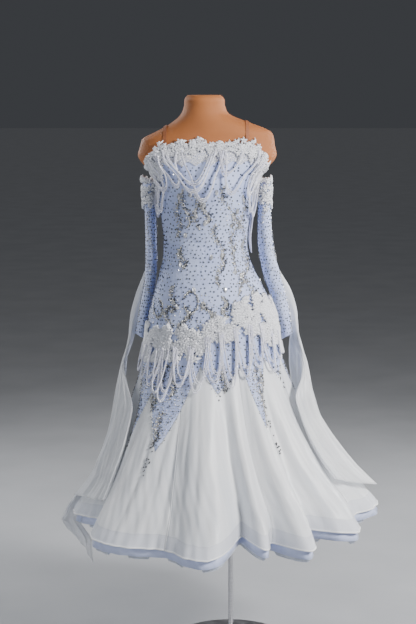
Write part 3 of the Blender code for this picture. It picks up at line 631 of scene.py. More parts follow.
def brushed_steel():
    """Fine streaks round the pole, seen as small changes in roughness."""
    m = Maker("brushed_steel", Metallic=1.0)
    drawn_out = m.node("ShaderNodeMapping", {}, {"Vector": m.place(), "Scale": (30.0, 30.0, 400.0)})
    grain = m.noise(drawn_out, 1.0)
    tone = grain.above(0.3, 0.7)
    return m.feed(Base_Color=m.mix(tone, (0.62, 0.62, 0.64), (0.78, 0.78, 0.80)),
                  Roughness=0.28 + 0.10 * tone, Normal=m.bump(grain, 0.0001, 0.3))


def ribbon_elastic():
    """Nude elastic: close ribs across the strap."""
    m = Maker("nude_elastic", Roughness=0.6)
    _, _, z = m.split(m.place())
    ribs = (z * 2600.0).wave()
    tone = m.noise(m.place(), 60.0).above(0.3, 0.7)
    return m.feed(Base_Color=m.mix(tone, (0.26, 0.085, 0.030), (0.33, 0.115, 0.045)),
                  Normal=m.bump(ribs, 0.0004, 0.5))


ICE = stretch_satin()
# For each organza, the first colour is the lit white of its painted highlights and the second its
# painted shade.
WHITE = organza("white_organza", (0.93, 0.94, 0.96), (0.80, 0.84, 0.90), 0.84, folds=30.0)
FLOATING = organza("floating_organza", (0.95, 0.96, 0.97), (0.80, 0.83, 0.89), 0.68,
                   band=False, folds=90.0, fade=True)
LINING = organza("blue_lining", (0.66, 0.72, 0.94), (0.50, 0.57, 0.84), 0.95,
                 band=False, folds=34.0)
NET = stiff_net()
LACE = corded_lace()
GROUND = lace_ground()
PEARL = pearly("pearly_beads", (0.93, 0.93, 0.97), (0.80, 0.82, 0.92), 0.16)
SILVER = pearly("silver_beads", (0.96, 0.95, 0.92), (0.62, 0.62, 0.61), 0.16, metal=0.5)
STRUNG = pearly("strung_beads", (0.93, 0.93, 0.99), (0.74, 0.75, 0.91), 0.18, coat=0.5)
STONE = pearly("crystal_stones", (0.22, 0.23, 0.26), (0.012, 0.013, 0.017), 0.08,
               metal=0.5, coat=1.0)
CUT = pearly("cut_glass", (0.92, 0.93, 0.95), (0.42, 0.44, 0.48), 0.05, metal=0.6, coat=1.0)
COVER = form_cover()
STEEL = brushed_steel()
ELASTIC = ribbon_elastic()
print("materials:", len(bpy.data.materials))

# %% [markdown]
# ## The stand
# The pole is a plain tube and the base a turned disc with a soft edge. Both are a profile turned
# about the pole's axis, which gives a round edge where the solid has flat sides.

# %% Pole and base
def lathe(name, profile, sides):
    """Each point of the profile, radius and height, goes round in a circle; the ends are closed."""
    profile = np.array(profile)
    turn = np.arange(sides) * 2 * np.pi / sides
    r = profile[:, :1]
    rings = np.stack([r * np.sin(turn), -r * np.cos(turn), profile[:, 1:] + 0 * turn], axis=-1)
    ends = np.array([[0, 0, profile[0, 1]], [0, 0, profile[-1, 1]]])
    count = len(profile) * sides
    i = np.arange(sides)
    j = (i + 1) % sides
    bottom = np.stack([j, i, 0 * i + count], axis=1)
    top = np.stack([count - sides + i, count - sides + j, 0 * i + count + 1], axis=1)
    sides_round = grid_faces(len(profile), sides, closed=True)
    mesh = bpy.data.meshes.new(name)
    mesh.from_pydata(np.concatenate([rings.reshape(-1, 3), ends]).tolist(), [],
                     sides_round.tolist() + bottom.tolist() + top.tolist())
    mesh.set_sharp_from_angle(angle=np.radians(35))
    return linked(name, mesh)


POLE_RADIUS = 0.0075
FORM_BOTTOM = 0.955
pole = lathe("pole", [(POLE_RADIUS, 0.0163), (POLE_RADIUS, 0.5), (POLE_RADIUS, 0.9547)], 48)
finish(pole, STEEL, "steel", "stand_pole")
disc = lathe("base_disc", [
    (0.1765, 0.0), (0.1795, 0.0012), (0.18, 0.004), (0.18, 0.011), (0.1788, 0.0146),
    (0.176, 0.016), (0.02, 0.016),
], 96)
finish(disc, STEEL, "steel", "stand_base")
print("stand:", pole.name, disc.name)

# %% [markdown]
# ## The dress form
# The form is a limbless torso covered in tan cloth. It uses the same sections as the dress, drawn
# in by the bodice's clearance, with a flat neck top and rounded shoulder caps.

# %% Dress form
FORM_CLEARANCE = 0.0054


def form_surface(sides=96, levels=120):
    """The figure's ellipse less the clearance below the shoulders; ends are drawn to a point."""
    shoulder = FIGURE[0, 0]
    whole = np.vstack([NECK, FIGURE[FIGURE[:, 0] > FORM_BOTTOM]])
    z = np.linspace(FORM_BOTTOM, NECK[0, 0], levels)
    z = np.concatenate([[FORM_BOTTOM] * 2, z, [NECK[0, 0]] * 3])
    shrink = np.ones_like(z)
    shrink[:2] = (0.002, 0.985)
    shrink[-3:] = (0.97, 0.6, 0.002)
    rows = []
    turn = np.arange(sides) * 2 * np.pi / sides - np.pi
    for height, narrow in zip(z, shrink):
        table = FIGURE if height <= shoulder else whole
        middle, half, front, back = (float(smooth_at(height, table, k)) for k in (1, 2, 3, 4))
        tight = FORM_CLEARANCE * min(1.0, max(0.0, (shoulder + 0.02 - height) / 0.04))
        depth = np.where(np.cos(turn) > 0, front, back) - tight
        rows.append(np.stack([middle + narrow * (half - tight) * np.sin(turn),
                              -narrow * depth * np.cos(turn), 0 * turn + height], axis=1))
    return np.array(rows)


form_points = form_surface()
form = shell("form_torso", form_points, 0, closed=True)
finish(form, COVER, "form_cloth", "dress_form")
for name in ("strap_left", "strap_right"):
    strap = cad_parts[name]
    strap.data.materials.clear()
    strap.data.materials.append(ELASTIC)
print("form rows:", len(form_points))

# %% [markdown]
# ## The bodice
# The bodice is cut from stretch cloth in a front and a back, and runs down into long points that
# lie between the godets. It is drawn tight, so it only has soft pull lines at the waist and
# under the arms. Its surface is the figure itself, with those lines as shallow waves.

# %% Bodice
BODICE_WALL = 0.0012
STRETCH = 1.06
WAIST = 1.235
UNDERARM = 1.385
HALVES = (("front", -90, 90), ("back", 90, 270))


def pull_lines(angle, z):
    """Shallow waves that fan from the waist: their depth falls off above and below it."""
    near_waist = np.exp(-(((z - WAIST) / 0.075) ** 2))
    near_arm = np.exp(-(((z - UNDERARM) / 0.035) ** 2)) * np.exp(-(((np.abs(angle) - 75) / 22) ** 2))
    slant = np.sin(np.radians(angle) * 5 + z * 95)
    return 0.0007 * near_waist * slant + 0.0008 * near_arm * np.sin(z * 420 + np.radians(angle) * 3)


def with_corners(start, end, count, corners):
    """Even angles from start to end, with the corners of an edge between them added."""
    whole = np.concatenate([corners, corners + 360.0])
    inside = whole[(whole > start + 0.5) & (whole < end - 0.5)]
    return np.unique(np.concatenate([np.linspace(start, end, count), inside]).round(3))


def bodice_surface(start, end, columns=84, rows=90):
    """Rows run from the points' zigzag up to the neckline; columns keep the points' corners."""
    angle = with_corners(start + 0.12, end - 0.12, columns, HIP_SEAM[:, 0])[None]
    share = np.linspace(0, 1, rows)[:, None] ** 0.9
    z = along(angle, HIP_SEAM) * (1 - share) + along(angle, NECKLINE) * share
    z = z + 0.0005 * (1 - share)
    return on_figure(angle + 0 * z, z, pull_lines((angle + 180) % 360 - 180, z))


for name, start, end in HALVES:
    points = bodice_surface(start, end)
    panel = shell(f"bodice_{name}_satin", points, BODICE_WALL)
    finish(panel, ICE, "stretch", f"bodice_{name}")
    declare_cut(panel, points, stretch=STRETCH)

# %% [markdown]
# ## The skirt
# Each gore is white satin organza. It hangs in broad round folds that open towards the hem, with
# fine creases that start at the godet's point, and it ends in a stiff band with a bound edge. The
# crease lines are given as a table of where each one starts and how deep it is.

# %% Creases of the skirt
CREASES = np.array([
    # angle at the hem, lean in degrees over the height, depth, half width in degrees
    (-172, 3, 0.0035, 1.5), (-151, -3, 0.003, 1.3), (-128, 3, 0.0035, 1.6), (-107, -2, 0.003, 1.2),
    (-96, 2, 0.0035, 1.5), (-81, 2, 0.003, 1.3), (-66, 4, 0.004, 1.6), (-58, 5, 0.0035, 1.3),
    (-45, 6, 0.0045, 1.5), (-34, 4, 0.003, 1.2), (-28, 5, 0.004, 1.4), (-19, 3, 0.003, 1.3),
    (-12, 2, 0.0035, 1.4), (1, 1, 0.0025, 1.0), (12, -1, 0.003, 1.0), (18, -2, 0.003, 1.0),
    (26, -2, 0.0035, 1.2), (36, -4, 0.0035, 1.3), (47, -5, 0.004, 1.4), (53, -4, 0.003, 1.2),
    (63, -4, 0.004, 1.6), (74, -3, 0.0035, 1.4), (82, -3, 0.0035, 1.5), (93, -2, 0.003, 1.4),
    (108, -2, 0.0035, 1.4), (123, 2, 0.003, 1.4), (138, -2, 0.0035, 1.5), (150, 2, 0.003, 1.3),
    (163, -3, 0.0035, 1.5), (174, 2, 0.003, 1.3),
])


def crease_depth(angle, z):
    """A sum of narrow bell-shaped grooves, each one leaning with the height."""
    depth = 0.0 * (angle + z)
    for at, lean, deep, half in CREASES:
        line = at + lean * (z - 0.42) / 0.45
        away = (angle - line + 180) % 360 - 180
        depth = depth + deep * np.exp(-((away / half) ** 2))
    return -depth * np.clip((0.90 - z) / 0.35, 0, 1)


def crumple(angle, z):
    """Small uneven waves that die out upwards: products of sines whose steps don't repeat."""
    a = np.radians(angle)
    small = np.sin(23 * a + 17 * z) * np.sin(31 * z - 9 * a) + 0.6 * np.sin(47 * a - 29 * z)
    fine = np.sin(90 * a + 8 * np.sin(12 * z))
    low = np.clip((0.80 - z) / 0.35, 0, 1)
    return (0.0022 * small + 0.0009 * fine) * low


def hem_rim(height_above_hem):
    """The bound edge stands out by a millimetre over the last few millimetres."""
    return 0.0011 * np.exp(-((height_above_hem - 0.002) / 0.0024) ** 2)


# %% Gores
SKIRT_WALL = 0.0011
GORES = (
    ("skirt_back_left", -180, -135), ("skirt_side_left", -135, -73), ("skirt_front_left", -73, -24),
    ("skirt_front", -24, 21), ("skirt_front_right", 21, 70), ("skirt_side_right", 70, 131),
    ("skirt_back_right", 131, 180),
)


def skirt_surface(start, end, rows=64):
    """Rows run from the hem to the seam, closer together at the hem; columns keep the corners."""
    corners = np.concatenate([HIP_SEAM[:, 0], FOLDS[:, 0]])
    angle = with_corners(start + 0.01, end - 0.01, int((end - start) * 1.2), corners)[None]
    rim = (0, 0.0035, 0.007, 0.0105, 0.014)
    share = np.concatenate([rim, np.linspace(0.02, 1, rows - len(rim))])[:, None]
    hem = along(angle, HEM)
    z = hem + (along(angle, HIP_SEAM) - 0.0005 - hem) * share
    relief = crease_depth(angle, z) + crumple(angle, z) + hem_rim(z - hem)
    settle = np.clip((1 - share) * 12, 0, 1)
    return on_figure(angle + 0 * z, z, relief * settle)


skirt_area = 0.0
for name, start, end in GORES:
    points = skirt_surface(start, end)
    gore = shell(f"{name}_gore", points, SKIRT_WALL)
    finish(gore, WHITE, "organza", name)
    skirt_area += declare_cut(gore, points)
print("skirt cloth:", round(skirt_area, 2), "m2")

# %% Seams between the gores
def seam_strip(angle, rows=60):
    """A narrow fold of cloth laid over a seam, from the hem to the godet's point."""
    across = angle + np.array([-0.32, -0.16, 0.16, 0.32])[None]
    bottom = float(along(angle, HEM)) + 0.001
    top = float(along(angle, HIP_SEAM)) - 0.004
    z = np.linspace(bottom, top, rows)[:, None] + 0 * across
    lift = crease_depth(across, z) + crumple(across, z) + hem_rim(z - bottom)
    return on_figure(across, z, lift + np.array([0.0001, 0.0009, 0.0009, 0.0001])[None])


strips = [seam_strip(start) for _, start, _ in GORES]
strip_faces = grid_faces(*strips[0].shape[:2])
points, faces = joined([(strip.reshape(-1, 3), strip_faces) for strip in strips])
seam_uv = np.concatenate([cloth_uv(strip).reshape(-1, 2) for strip in strips])
seams = new_object("gore_seams", points, faces, seam_uv)
add_wall(seams, 0.0006)
finish(seams, FLOATING, "organza")
print("seams:", len(strips))

# %% [markdown]
# ## Underskirt and petticoat
# Under the organza hangs a pale blue lining and under that a stiff net. Both follow the outer
# folds from inside and show as a blue edge and a dark, stepped edge below the hem.

# %% Inner skirts
INNER_WALL = 0.001
UNDERSKIRT_OFF = np.array([(0.0, 0.0030), (0.2, 0.013), (0.45, 0.017), (1.0, 0.018)])
PETTICOAT_OFF = np.array([(0.0, 0.0052), (0.2, 0.019), (0.45, 0.028), (1.0, 0.032)])


def inner_surface(start, end, top, drop, offs, step, rows=30):
    """The outer skirt's form moved inwards; the hem drops, and steps where net layers differ."""
    angle = with_corners(start + 0.1, end - 0.1, 180, FOLDS[:, 0])[None]
    share = np.linspace(0, 1, rows)[:, None]
    notch = step * (np.sin(np.radians(angle) * 23) > 0.2)
    bottom = along(angle, HEM) - drop + notch
    z = bottom + (top - bottom) * share
    off = np.interp(1 - share, offs[:, 0], offs[:, 1])
    ripple = 0.0018 * np.sin(np.radians(angle) * 55 + 9 * z) * (1 - share)
    return on_figure(angle + 0 * z, z, ripple - off)


for name, start, end in HALVES:
    points = inner_surface(start, end, 0.930, 0.024, UNDERSKIRT_OFF, 0.0)
    lining = shell(f"underskirt_{name}_lining", points, INNER_WALL)
    finish(lining, LINING, "organza", f"underskirt_{name}")
    declare_cut(lining, points)
    points = inner_surface(start, end, 0.926, 0.034, PETTICOAT_OFF, 0.016)
    net = shell(f"petticoat_{name}_net", points, INNER_WALL)
    finish(net, NET, "net", f"petticoat_{name}")
    declare_cut(net, points)

# %% [markdown]
# ## Sleeves
# The sleeves hang empty from the neckline's sides. Each is a flattened tube of the stretch cloth,
# with long pull lines, and it ends in a point over the hand.

# %% Sleeve surfaces
SLEEVE_LEFT = np.array([
    (1.412, -0.2446, 0.030, 0.0170), (1.300, -0.2395, 0.030, 0.0170),
    (1.205, -0.2375, 0.030, 0.0170), (1.130, -0.2405, 0.036, 0.0170),
    (1.050, -0.2545, 0.050, 0.0170), (0.935, -0.2765, 0.064, 0.0160),
])
SLEEVE_RIGHT = np.array([
    (1.412, 0.0962, 0.030, 0.0185), (1.300, 0.0980, 0.030, 0.0200), (1.205, 0.1060, 0.030, 0.0235),
    (1.130, 0.1240, 0.036, 0.0250), (1.050, 0.1480, 0.050, 0.0230), (0.935, 0.1700, 0.062, 0.0180),
])
SLEEVES = (("left", SLEEVE_LEFT, -1), ("right", SLEEVE_RIGHT, 1))
SLEEVE_HALF_DEPTH = 0.038
SLEEVE_WALL = 0.0011


def on_sleeve(turn, z, table, out=0.0):
    """A flattened ring at each height: middle + (half width + out) sin, -(half depth + out) cos."""
    a = np.radians(turn)
    x = smooth_at(z, table, 1) + (smooth_at(z, table, 3) + out) * np.sin(a)
    y = smooth_at(z, table, 2) - (SLEEVE_HALF_DEPTH + out) * np.cos(a)
    return np.stack([x, y, z + 0 * x], axis=-1)


def sleeve_surface(table, side, sides=48, rows=80):
    """The ring's waves run lengthwise and grow at the elbow; the cuff rises behind the hand."""
    turn = (np.arange(sides) * 360 / sides - 180)[None]
    share = np.linspace(0, 1, rows)[:, None]
    low = table[-1, 0] + 0.022 * (1 + np.cos(np.radians(turn - 55 * side))) / 2
    z = low + (table[0, 0] - low) * share
    elbow = np.exp(-(((z - 1.15) / 0.07) ** 2))
    a = np.radians(turn)
    waves = 0.0007 * np.sin(3 * a + 26 * z) + 0.0009 * elbow * np.sin(2 * a + 75 * z)
    return on_sleeve(turn + 0 * z, z, table, waves - 0.0006)


for name, table, side in SLEEVES:
    points = sleeve_surface(table, side)
    tube = shell(f"sleeve_{name}_satin", points, SLEEVE_WALL, closed=True)
    finish(tube, ICE, "stretch", f"sleeve_{name}")
    declare_cut(tube, points, closed=True)

# %% [markdown]
# ## Floats
# A float is a long loose panel sewn to the back of each sleeve from elbow to wrist. It falls over
# the side of the skirt in fine lengthwise folds. Its surface starts on the sleeve and settles
# outwards, and the left one runs down into a twisted tail.

# %% Float surfaces
FLOAT_LEFT = np.array([
    (0.00, 0.945, 0.505, -60), (0.25, 0.990, 0.485, -74), (0.50, 1.050, 0.470, -88),
    (0.72, 1.110, 0.450, -100), (0.86, 1.140, 0.300, -104), (1.00, 1.158, 0.215, -107),
])
FLOAT_RIGHT = np.array([
    (0.00, 0.945, 0.560, 64), (0.25, 0.990, 0.530, 77), (0.50, 1.050, 0.500, 92),
    (0.75, 1.110, 0.490, 108), (0.88, 1.140, 0.480, 116), (1.00, 1.158, 0.500, 124),
])
FLOAT_STAND_OFF = np.array([
    (0.21, -0.060, 0.080), (0.30, -0.030, 0.080), (0.36, 0.072, 0.080), (0.42, 0.072, 0.100),
    (0.50, 0.030, 0.125), (0.54, 0.030, 0.120), (0.57, 0.050, 0.105), (0.61, 0.065, 0.100),
    (0.66, 0.092, 0.105), (0.72, 0.140, 0.125), (0.80, 0.215, 0.210), (0.88, 0.280, 0.320),
    (0.94, 0.310, 0.350), (1.16, 0.360, 0.360),
])
FRONT_EDGE = 0.5
FLOAT_WALL = 0.0008


def float_surface(sleeve_table, table, side, columns=96, rows=80):
    """Start point on the sleeve and end point over the skirt, joined by a smooth settling share."""
    across = np.linspace(0, 1, columns)[None]
    share = np.linspace(1, 0, rows)[:, None]
    start, end, low_angle = (np.interp(across, table[:, 0], table[:, k]) for k in (1, 2, 3))
    z = start + (end - start) * share
    seat = on_sleeve(side * (90 + 35 * across), start, sleeve_table, 0.0015)
    half = smooth_at(start, FIGURE, 2)
    ahead = np.where(seat[..., 1] < 0, smooth_at(start, FIGURE, 3), smooth_at(start, FIGURE, 4))
    right = (seat[..., 0] - smooth_at(start, FIGURE, 1)) / half
    front = -seat[..., 1] / ahead
    seat_angle = np.degrees(np.arctan2(right, front))
    seat_out = np.hypot(right, front) - 1.0
    settle = np.minimum(1.0, share * 2.2)
    settle = settle * settle * (3 - 2 * settle)
    angle = seat_angle + (low_angle - seat_angle) * settle
    low_out = np.interp(z, FLOAT_STAND_OFF[:, 0], FLOAT_STAND_OFF[:, 1 if side < 0 else 2])
    low_out = low_out * (FRONT_EDGE + (1 - FRONT_EDGE) * np.minimum(1.0, 3 * across))
    out = seat_out + (low_out - seat_out) * settle
    grown = np.clip(3 * share - 0.35, 0, 1)
    folds = 0.0050 * np.sin(2 * np.pi * 7 * across + 2.2 * share)
    folds = folds + 0.0026 * np.sin(2 * np.pi * 17 * across + 3 * share + 1.5 * np.sin(5 * share))
    folds = folds + 0.0010 * np.sin(2 * np.pi * 37 * across - 4 * share)
    folds = folds + 0.0030 * np.sin(26 * z + 9 * across) * np.clip(2 * share - 1, 0, 1)
    a = np.radians(angle)
    depth = np.where(np.cos(a) > 0, smooth_at(z, FIGURE, 3), smooth_at(z, FIGURE, 4))
    crest = np.maximum(0.0, fold_height(angle)) * np.interp(z, FOLD_GROWTH[:, 0], FOLD_GROWTH[:, 1])
    wave = folds * grown + crest * settle
    x = smooth_at(z, FIGURE, 1) + (smooth_at(z, FIGURE, 2) * (1 + out) + wave) * np.sin(a)
    y = -(depth * (1 + out) + wave) * np.cos(a)
    points = np.stack([x, y, z + 0 * x], axis=-1)
    return points[:, ::-1] if side < 0 else points


for (name, sleeve_table, side), table in zip(SLEEVES, (FLOAT_LEFT, FLOAT_RIGHT)):
    points = float_surface(sleeve_table, table, side)
    panel = shell(f"float_{name}_organza", points, FLOAT_WALL)
    finish(panel, FLOATING, "organza", f"sleeve_float_{name}")
    declare_cut(panel, points)

# %% [markdown]
# ## Lace
# The lace is white corded flowers and leaves sewn on a fine net, with small beads on the petals.
# Its upper edge stands up in uneven peaks. Flowers are small closed shapes scattered between the
# band's edges, each one turned and sized a little differently. At the neckline they lie over a net
# with open holes.

# %% Lace helpers
PETAL_BEAD = 0.0024
BODY_RADIUS = 0.17
LACE_LIFT = 0.0030
rng = np.random.default_rng(7)


def spins(count):
    """Turns in radians, drawn by chance."""
    return rng.uniform(0, 6.28, count)


def lay_on(surface, step, shape, a, z, size, off, spin):
    """Copies of a shape on a surface, turned in the cloth by spin in radians."""
    normals = normal_at(surface, a, z, step, 0.002)
    places = surface(a, z) + normals * np.reshape(off, (-1, 1))
    return copies(shape, places, turned(frames_from(normals), spin), size)


def lay_on_figure(shape, angle, z, size, off, spin):
    """Copies on the body's surface; the normal is measured over half a degree."""
    return lay_on(on_figure, 0.5, shape, angle, z, size, off, spin)


def lace_net(name, start, end, top_of, bottom_of, off, columns=120, rows=14):
    """The net lies on the figure between two wavy edges."""
    angle = np.linspace(start + 0.1, end - 0.1, columns)[None]
    share = np.linspace(0, 1, rows)[:, None]
    z = bottom_of(angle) * (1 - share) + top_of(angle) * share
    return shell(name, on_figure(angle + 0 * z, z, off), 0.0006)


def scattered(start, end, step_angle, step_height, low_of, high_of):
    """A staggered grid between two edges, each place moved by up to two fifths of a step."""
    angles = np.arange(start + 1.5, end - 1.5, step_angle)
    levels = np.arange(14)[:, None]
    moved = rng.uniform(-0.4, 0.4, (14, len(angles)))
    a = angles + 0.5 * step_angle * (levels % 2) + moved * step_angle
    a = np.clip(a, start + 1.5, end - 1.5)
    z = high_of(a) - step_height * (levels + rng.uniform(-0.4, 0.4, a.shape))
    inside = z > low_of(a)
    return a[inside], z[inside]


def lace_flowers(a, z, size, off):
    """A flower at each place, a leaf beside three in five, and beads on the petals."""
    sizes = size * rng.uniform(0.72, 1.30, len(a))
    spin = spins(len(a))
    lift = off + rng.uniform(0, 0.0012, len(a))
    parts = [lay_on_figure(FLOWER, a, z, sizes, lift, spin)]
    pick = rng.uniform(0, 1, len(a)) < 0.6
    leaf_size = np.stack([0.9 * sizes, 1.15 * sizes, 0.7 * sizes], axis=1)[pick]
    leaf_a, leaf_z = a[pick] + 2.2, z[pick] + 0.004
    parts.append(lay_on_figure(LEAF, leaf_a, leaf_z, leaf_size, off + 0.001, 2 * spin[pick]))
    middle_bead = np.full(len(a), 0.0040)
    petal_bead = np.full(len(a), PETAL_BEAD)
    beads = [lay_on_figure(SEED, a, z, middle_bead, lift + 0.14 * sizes, spin)]
    reach = 0.28 * sizes
    for k in range(5):
        turn = 2 * np.pi * k / 5 + spin
        bead_a = a + np.degrees(reach * np.sin(turn) / BODY_RADIUS)
        bead_z = z + reach * np.cos(turn)
        beads.append(lay_on_figure(SEED, bead_a, bead_z, petal_bead, lift + 0.17 * sizes, turn))
    return joined(parts), joined(beads)


# %% Neckline lace
NECK_PEAKS = np.array([
    # angle, height over the edge: flowers that stand up past the neckline
    (-47, 0.010), (-44, 0.016), (-38, 0.006), (-31, 0.004), (-24, 0.012), (-20, 0.004),
    (-13, 0.010), (-8, 0.018), (-4, 0.006), (3, 0.004), (9, 0.006), (16, 0.004), (24, 0.010),
    (31, 0.014), (36, 0.004), (41, 0.010), (46, 0.010), (-58, 0.006), (-67, 0.008), (-76, 0.004),
    (54, 0.008), (62, 0.006), (72, 0.008),
])


def neck_depth(angle):
    """How deep the flowers reach: deeper by the arms than in the middle, with a ragged edge."""
    a = np.radians(angle)
    ragged = 0.007 * np.sin(13 * a) + 0.005 * np.sin(31 * a + 1)
    return 0.026 + 0.020 * np.clip((np.abs(angle) - 26) / 24, 0, 1) + ragged


for name, start, end in HALVES:
    middle = (start + end) / 2
    a, z = scattered(start, end, 3.9, 0.0098, lambda t: along(t, NECKLINE) - neck_depth(t - middle),
                     lambda t: along(t, NECKLINE) - 0.001)
    peak_a = NECK_PEAKS[:, 0] + middle
    peak_z = along(peak_a, NECKLINE) + NECK_PEAKS[:, 1]
    flowers, beads = lace_flowers(
        np.concatenate([a, peak_a]), np.concatenate([z, peak_z]), 0.021, LACE_LIFT)
    piece(f"neck_lace_{name}_flowers", flowers, LACE, "lace", f"neck_lace_{name}")
    piece(f"neck_lace_{name}_beads", beads, PEARL, "beads")
    ground = lace_net(
        f"neck_lace_{name}_net", start, end,
        lambda t: along(t, NECKLINE) + 0.003 + 0.003 * np.sin(np.radians(t) * 41),
        lambda t: along(t, NECKLINE) - 0.048 - 0.006 * np.sin(np.radians(t) * 29), 0.0028)
    finish(ground, GROUND, "lace")
    print("neck lace", name, len(flowers[1]), "faces, with", len(beads[1]), "on its beads")

# %% Hip lace
for name, start, end in HALVES:
    a, z = scattered(start, end, 3.1, 0.0110, lambda t: along(t, HIP_LACE, 1) + 0.004,
                     lambda t: along(t, HIP_LACE, 2) + 0.002 + 0.007 * np.sin(np.radians(t) * 23))
    cluster = np.sin(np.radians(a) * 11 + 38 * z) + 0.8 * np.sin(np.radians(a) * 19 - 61 * z)
    full = cluster > -1.05
    a, z = a[full], z[full]
    flowers, beads = lace_flowers(a, z, 0.023, LACE_LIFT)
    piece(f"hip_lace_{name}_flowers", flowers, LACE, "lace", f"hip_lace_{name}")
    piece(f"hip_lace_{name}_beads", beads, PEARL, "beads")
    print("hip lace", name, len(flowers[1]), "faces")

# %% Sleeve lace
def sleeve_flowers(table, side, size):
    """Rows of flowers round the sleeve's top, higher on its outer side and fewer lower down."""
    parts = []
    for level in range(6):
        turn = np.arange(0, 360, 26.0) + 13 * (level % 2) + rng.uniform(-5, 5, 14)
        turn = turn[rng.uniform(0, 1, 14) < (1, 1, 1, 0.85, 0.6, 0.3)[level]]
        count = len(turn)
        lobe = 0.014 * (1 + np.cos(np.radians(turn - 50 * side))) / 2
        z = table[0, 0] - 0.004 - 0.0135 * level + lobe * (level == 0)
        z = z + rng.uniform(-0.005, 0.005, count)
        normals = normal_at(lambda a, b: on_sleeve(a, b, table), turn, z, 1.0, 0.002)
        places = on_sleeve(turn, z, table) + 0.0015 * normals
        axes = turned(frames_from(normals), spins(count))
        sizes = size * rng.uniform(0.75, 1.35, count)
        parts.append(copies(FLOWER, places, axes, sizes))
        for k in range(5):
            around = 2 * np.pi * k / 5
            spot = axes[:, :, 0] * np.sin(around) + axes[:, :, 1] * np.cos(around)
            spot = places + (0.28 * spot + 0.19 * normals) * sizes[:, None]
            parts.append(copies(SEED, spot, axes, np.full(count, PETAL_BEAD)))
    return joined(parts)


for name, table, side in SLEEVES:
    flowers = sleeve_flowers(table, side, 0.021)
    piece(f"sleeve_lace_{name}_flowers", flowers, LACE, "lace", f"sleeve_lace_{name}")
print("sleeve lace faces:", len(flowers[1]))

# %% [markdown]
# ## Loops of beads
# White beads are strung in loops that swing from the neckline lace and from the hip lace. A loop
# hangs from two points, so its line is steep at the ends and flat at the bottom. The beads follow
# it one after another, and neighbouring loops cross.

# %% Bead loops
NECK_LOOPS = np.array([
    # start angle, end angle, start drop from the edge, lowest height
    (-76, -52, 0.014, 1.330), (-86, -64, 0.020, 1.318), (-66, -40, 0.022, 1.392),
    (-44, -24, 0.012, 1.405), (-36, 6, 0.010, 1.392), (-31, 3, 0.022, 1.414),
    (-20, 12, 0.010, 1.366), (9, 27, 0.008, 1.440), (13, 43, 0.010, 1.386), (46, 66, 0.016, 1.378),
    (52, 76, 0.014, 1.332), (60, 84, 0.020, 1.316), (92, 118, 0.018, 1.310),
    (112, 140, 0.018, 1.300), (120, 150, 0.018, 1.320), (142, 178, 0.018, 1.240),
    (150, 186, 0.018, 1.275), (182, 218, 0.018, 1.240), (210, 240, 0.018, 1.320),
    (220, 248, 0.018, 1.300), (240, 268, 0.018, 1.310), (97, 110, 0.018, 1.206),
])
HIP_LOOPS = np.array([
    # start angle, end angle, start drop from the strip, lowest height
    (-62, -48, 0.000, 0.850), (-60, -44, 0.004, 0.830), (-52, -38, 0.006, 0.812),
    (-46, -31, 0.000, 0.790), (-44, -30, 0.006, 0.818), (-33, -18, 0.000, 0.835),
    (-30, -16, 0.006, 0.858), (-20, -4, 0.000, 0.822), (-18, -2, 0.008, 0.846),
    (-6, 8, 0.000, 0.850), (-4, 9, 0.008, 0.872), (6, 20, 0.000, 0.834), (8, 22, 0.006, 0.858),
    (18, 33, 0.000, 0.862), (20, 35, 0.006, 0.886), (31, 46, 0.000, 0.884), (34, 48, 0.008, 0.905),
    (44, 60, 0.000, 0.870), (47, 62, 0.008, 0.895), (58, 74, 0.000, 0.900),
    (122, 141, 0.000, 0.850), (139, 160, 0.000, 0.815), (158, 178, 0.000, 0.835),
    (180, 202, 0.000, 0.835), (200, 221, 0.000, 0.815), (219, 238, 0.000, 0.850),
    (-86, -70, 0.000, 0.860), (-76, -60, 0.004, 0.842),
])
BEAD_STEP = 0.0040


def loop_beads(start, end, root_start, root_end, low, off, size):
    """Height is root - (root - low) (1 - |2s - 1| to the 2.5); beads sit at even steps along it."""
    s = np.linspace(0, 1, 200)
    angle = start + (end - start) * s
    root = root_start + (root_end - root_start) * s
    fall = 1 - np.abs(2 * s - 1) ** 2.5
    z = root + (low - root) * fall
    line = on_figure(angle, z, off + 0.0035 * fall)
    length = np.concatenate([[0], np.cumsum(np.linalg.norm(np.diff(line, axis=0), axis=1))])
    at = np.arange(0, length[-1], BEAD_STEP)
    places = np.stack([np.interp(at, length, line[:, k]) for k in range(3)], axis=1)
    ways = np.stack([np.gradient(places[:, k]) for k in range(3)], axis=1)
    ways /= np.linalg.norm(ways, axis=1, keepdims=True)
    return copies(BEAD, places, frames_from(ways, (0.1, 1.0, 0.05)), np.full(len(at), size))


def all_loops(loops, root_of, off, size, strands):
    """Every loop of a table as strands side by side, each one ending a little higher."""
    parts = []
    for number, (start, end, root, low) in enumerate(loops):
        ends = root_of(start, root), root_of(end, root)
        for k in range(strands):
            slip = rng.uniform(-0.9, 0.9, 2)
            out = off + 0.0012 * (number % 3) + 0.0006 * k
            parts.append(loop_beads(start + slip[0], end + slip[1], *ends, low + 0.0050 * k,
                                    out, size))
    return joined(parts)


def below_neckline(angle, drop):
    return float(along(angle, NECKLINE)) - drop


def below_hip_strip(angle, drop):
    return float(along(angle, HIP_LACE, 3)) - drop


loops = all_loops(NECK_LOOPS, below_neckline, off=0.0098, size=0.0040, strands=3)
piece("neck_bead_loops", loops, STRUNG, "beads", "neck_swags")
loops = all_loops(HIP_LOOPS, below_hip_strip, off=0.0085, size=0.0042, strands=2)
piece("hip_bead_loops", loops, STRUNG, "beads", "hip_swags")
print("loops:", len(NECK_LOOPS) + len(HIP_LOOPS), "bead faces:", len(loops[1]))

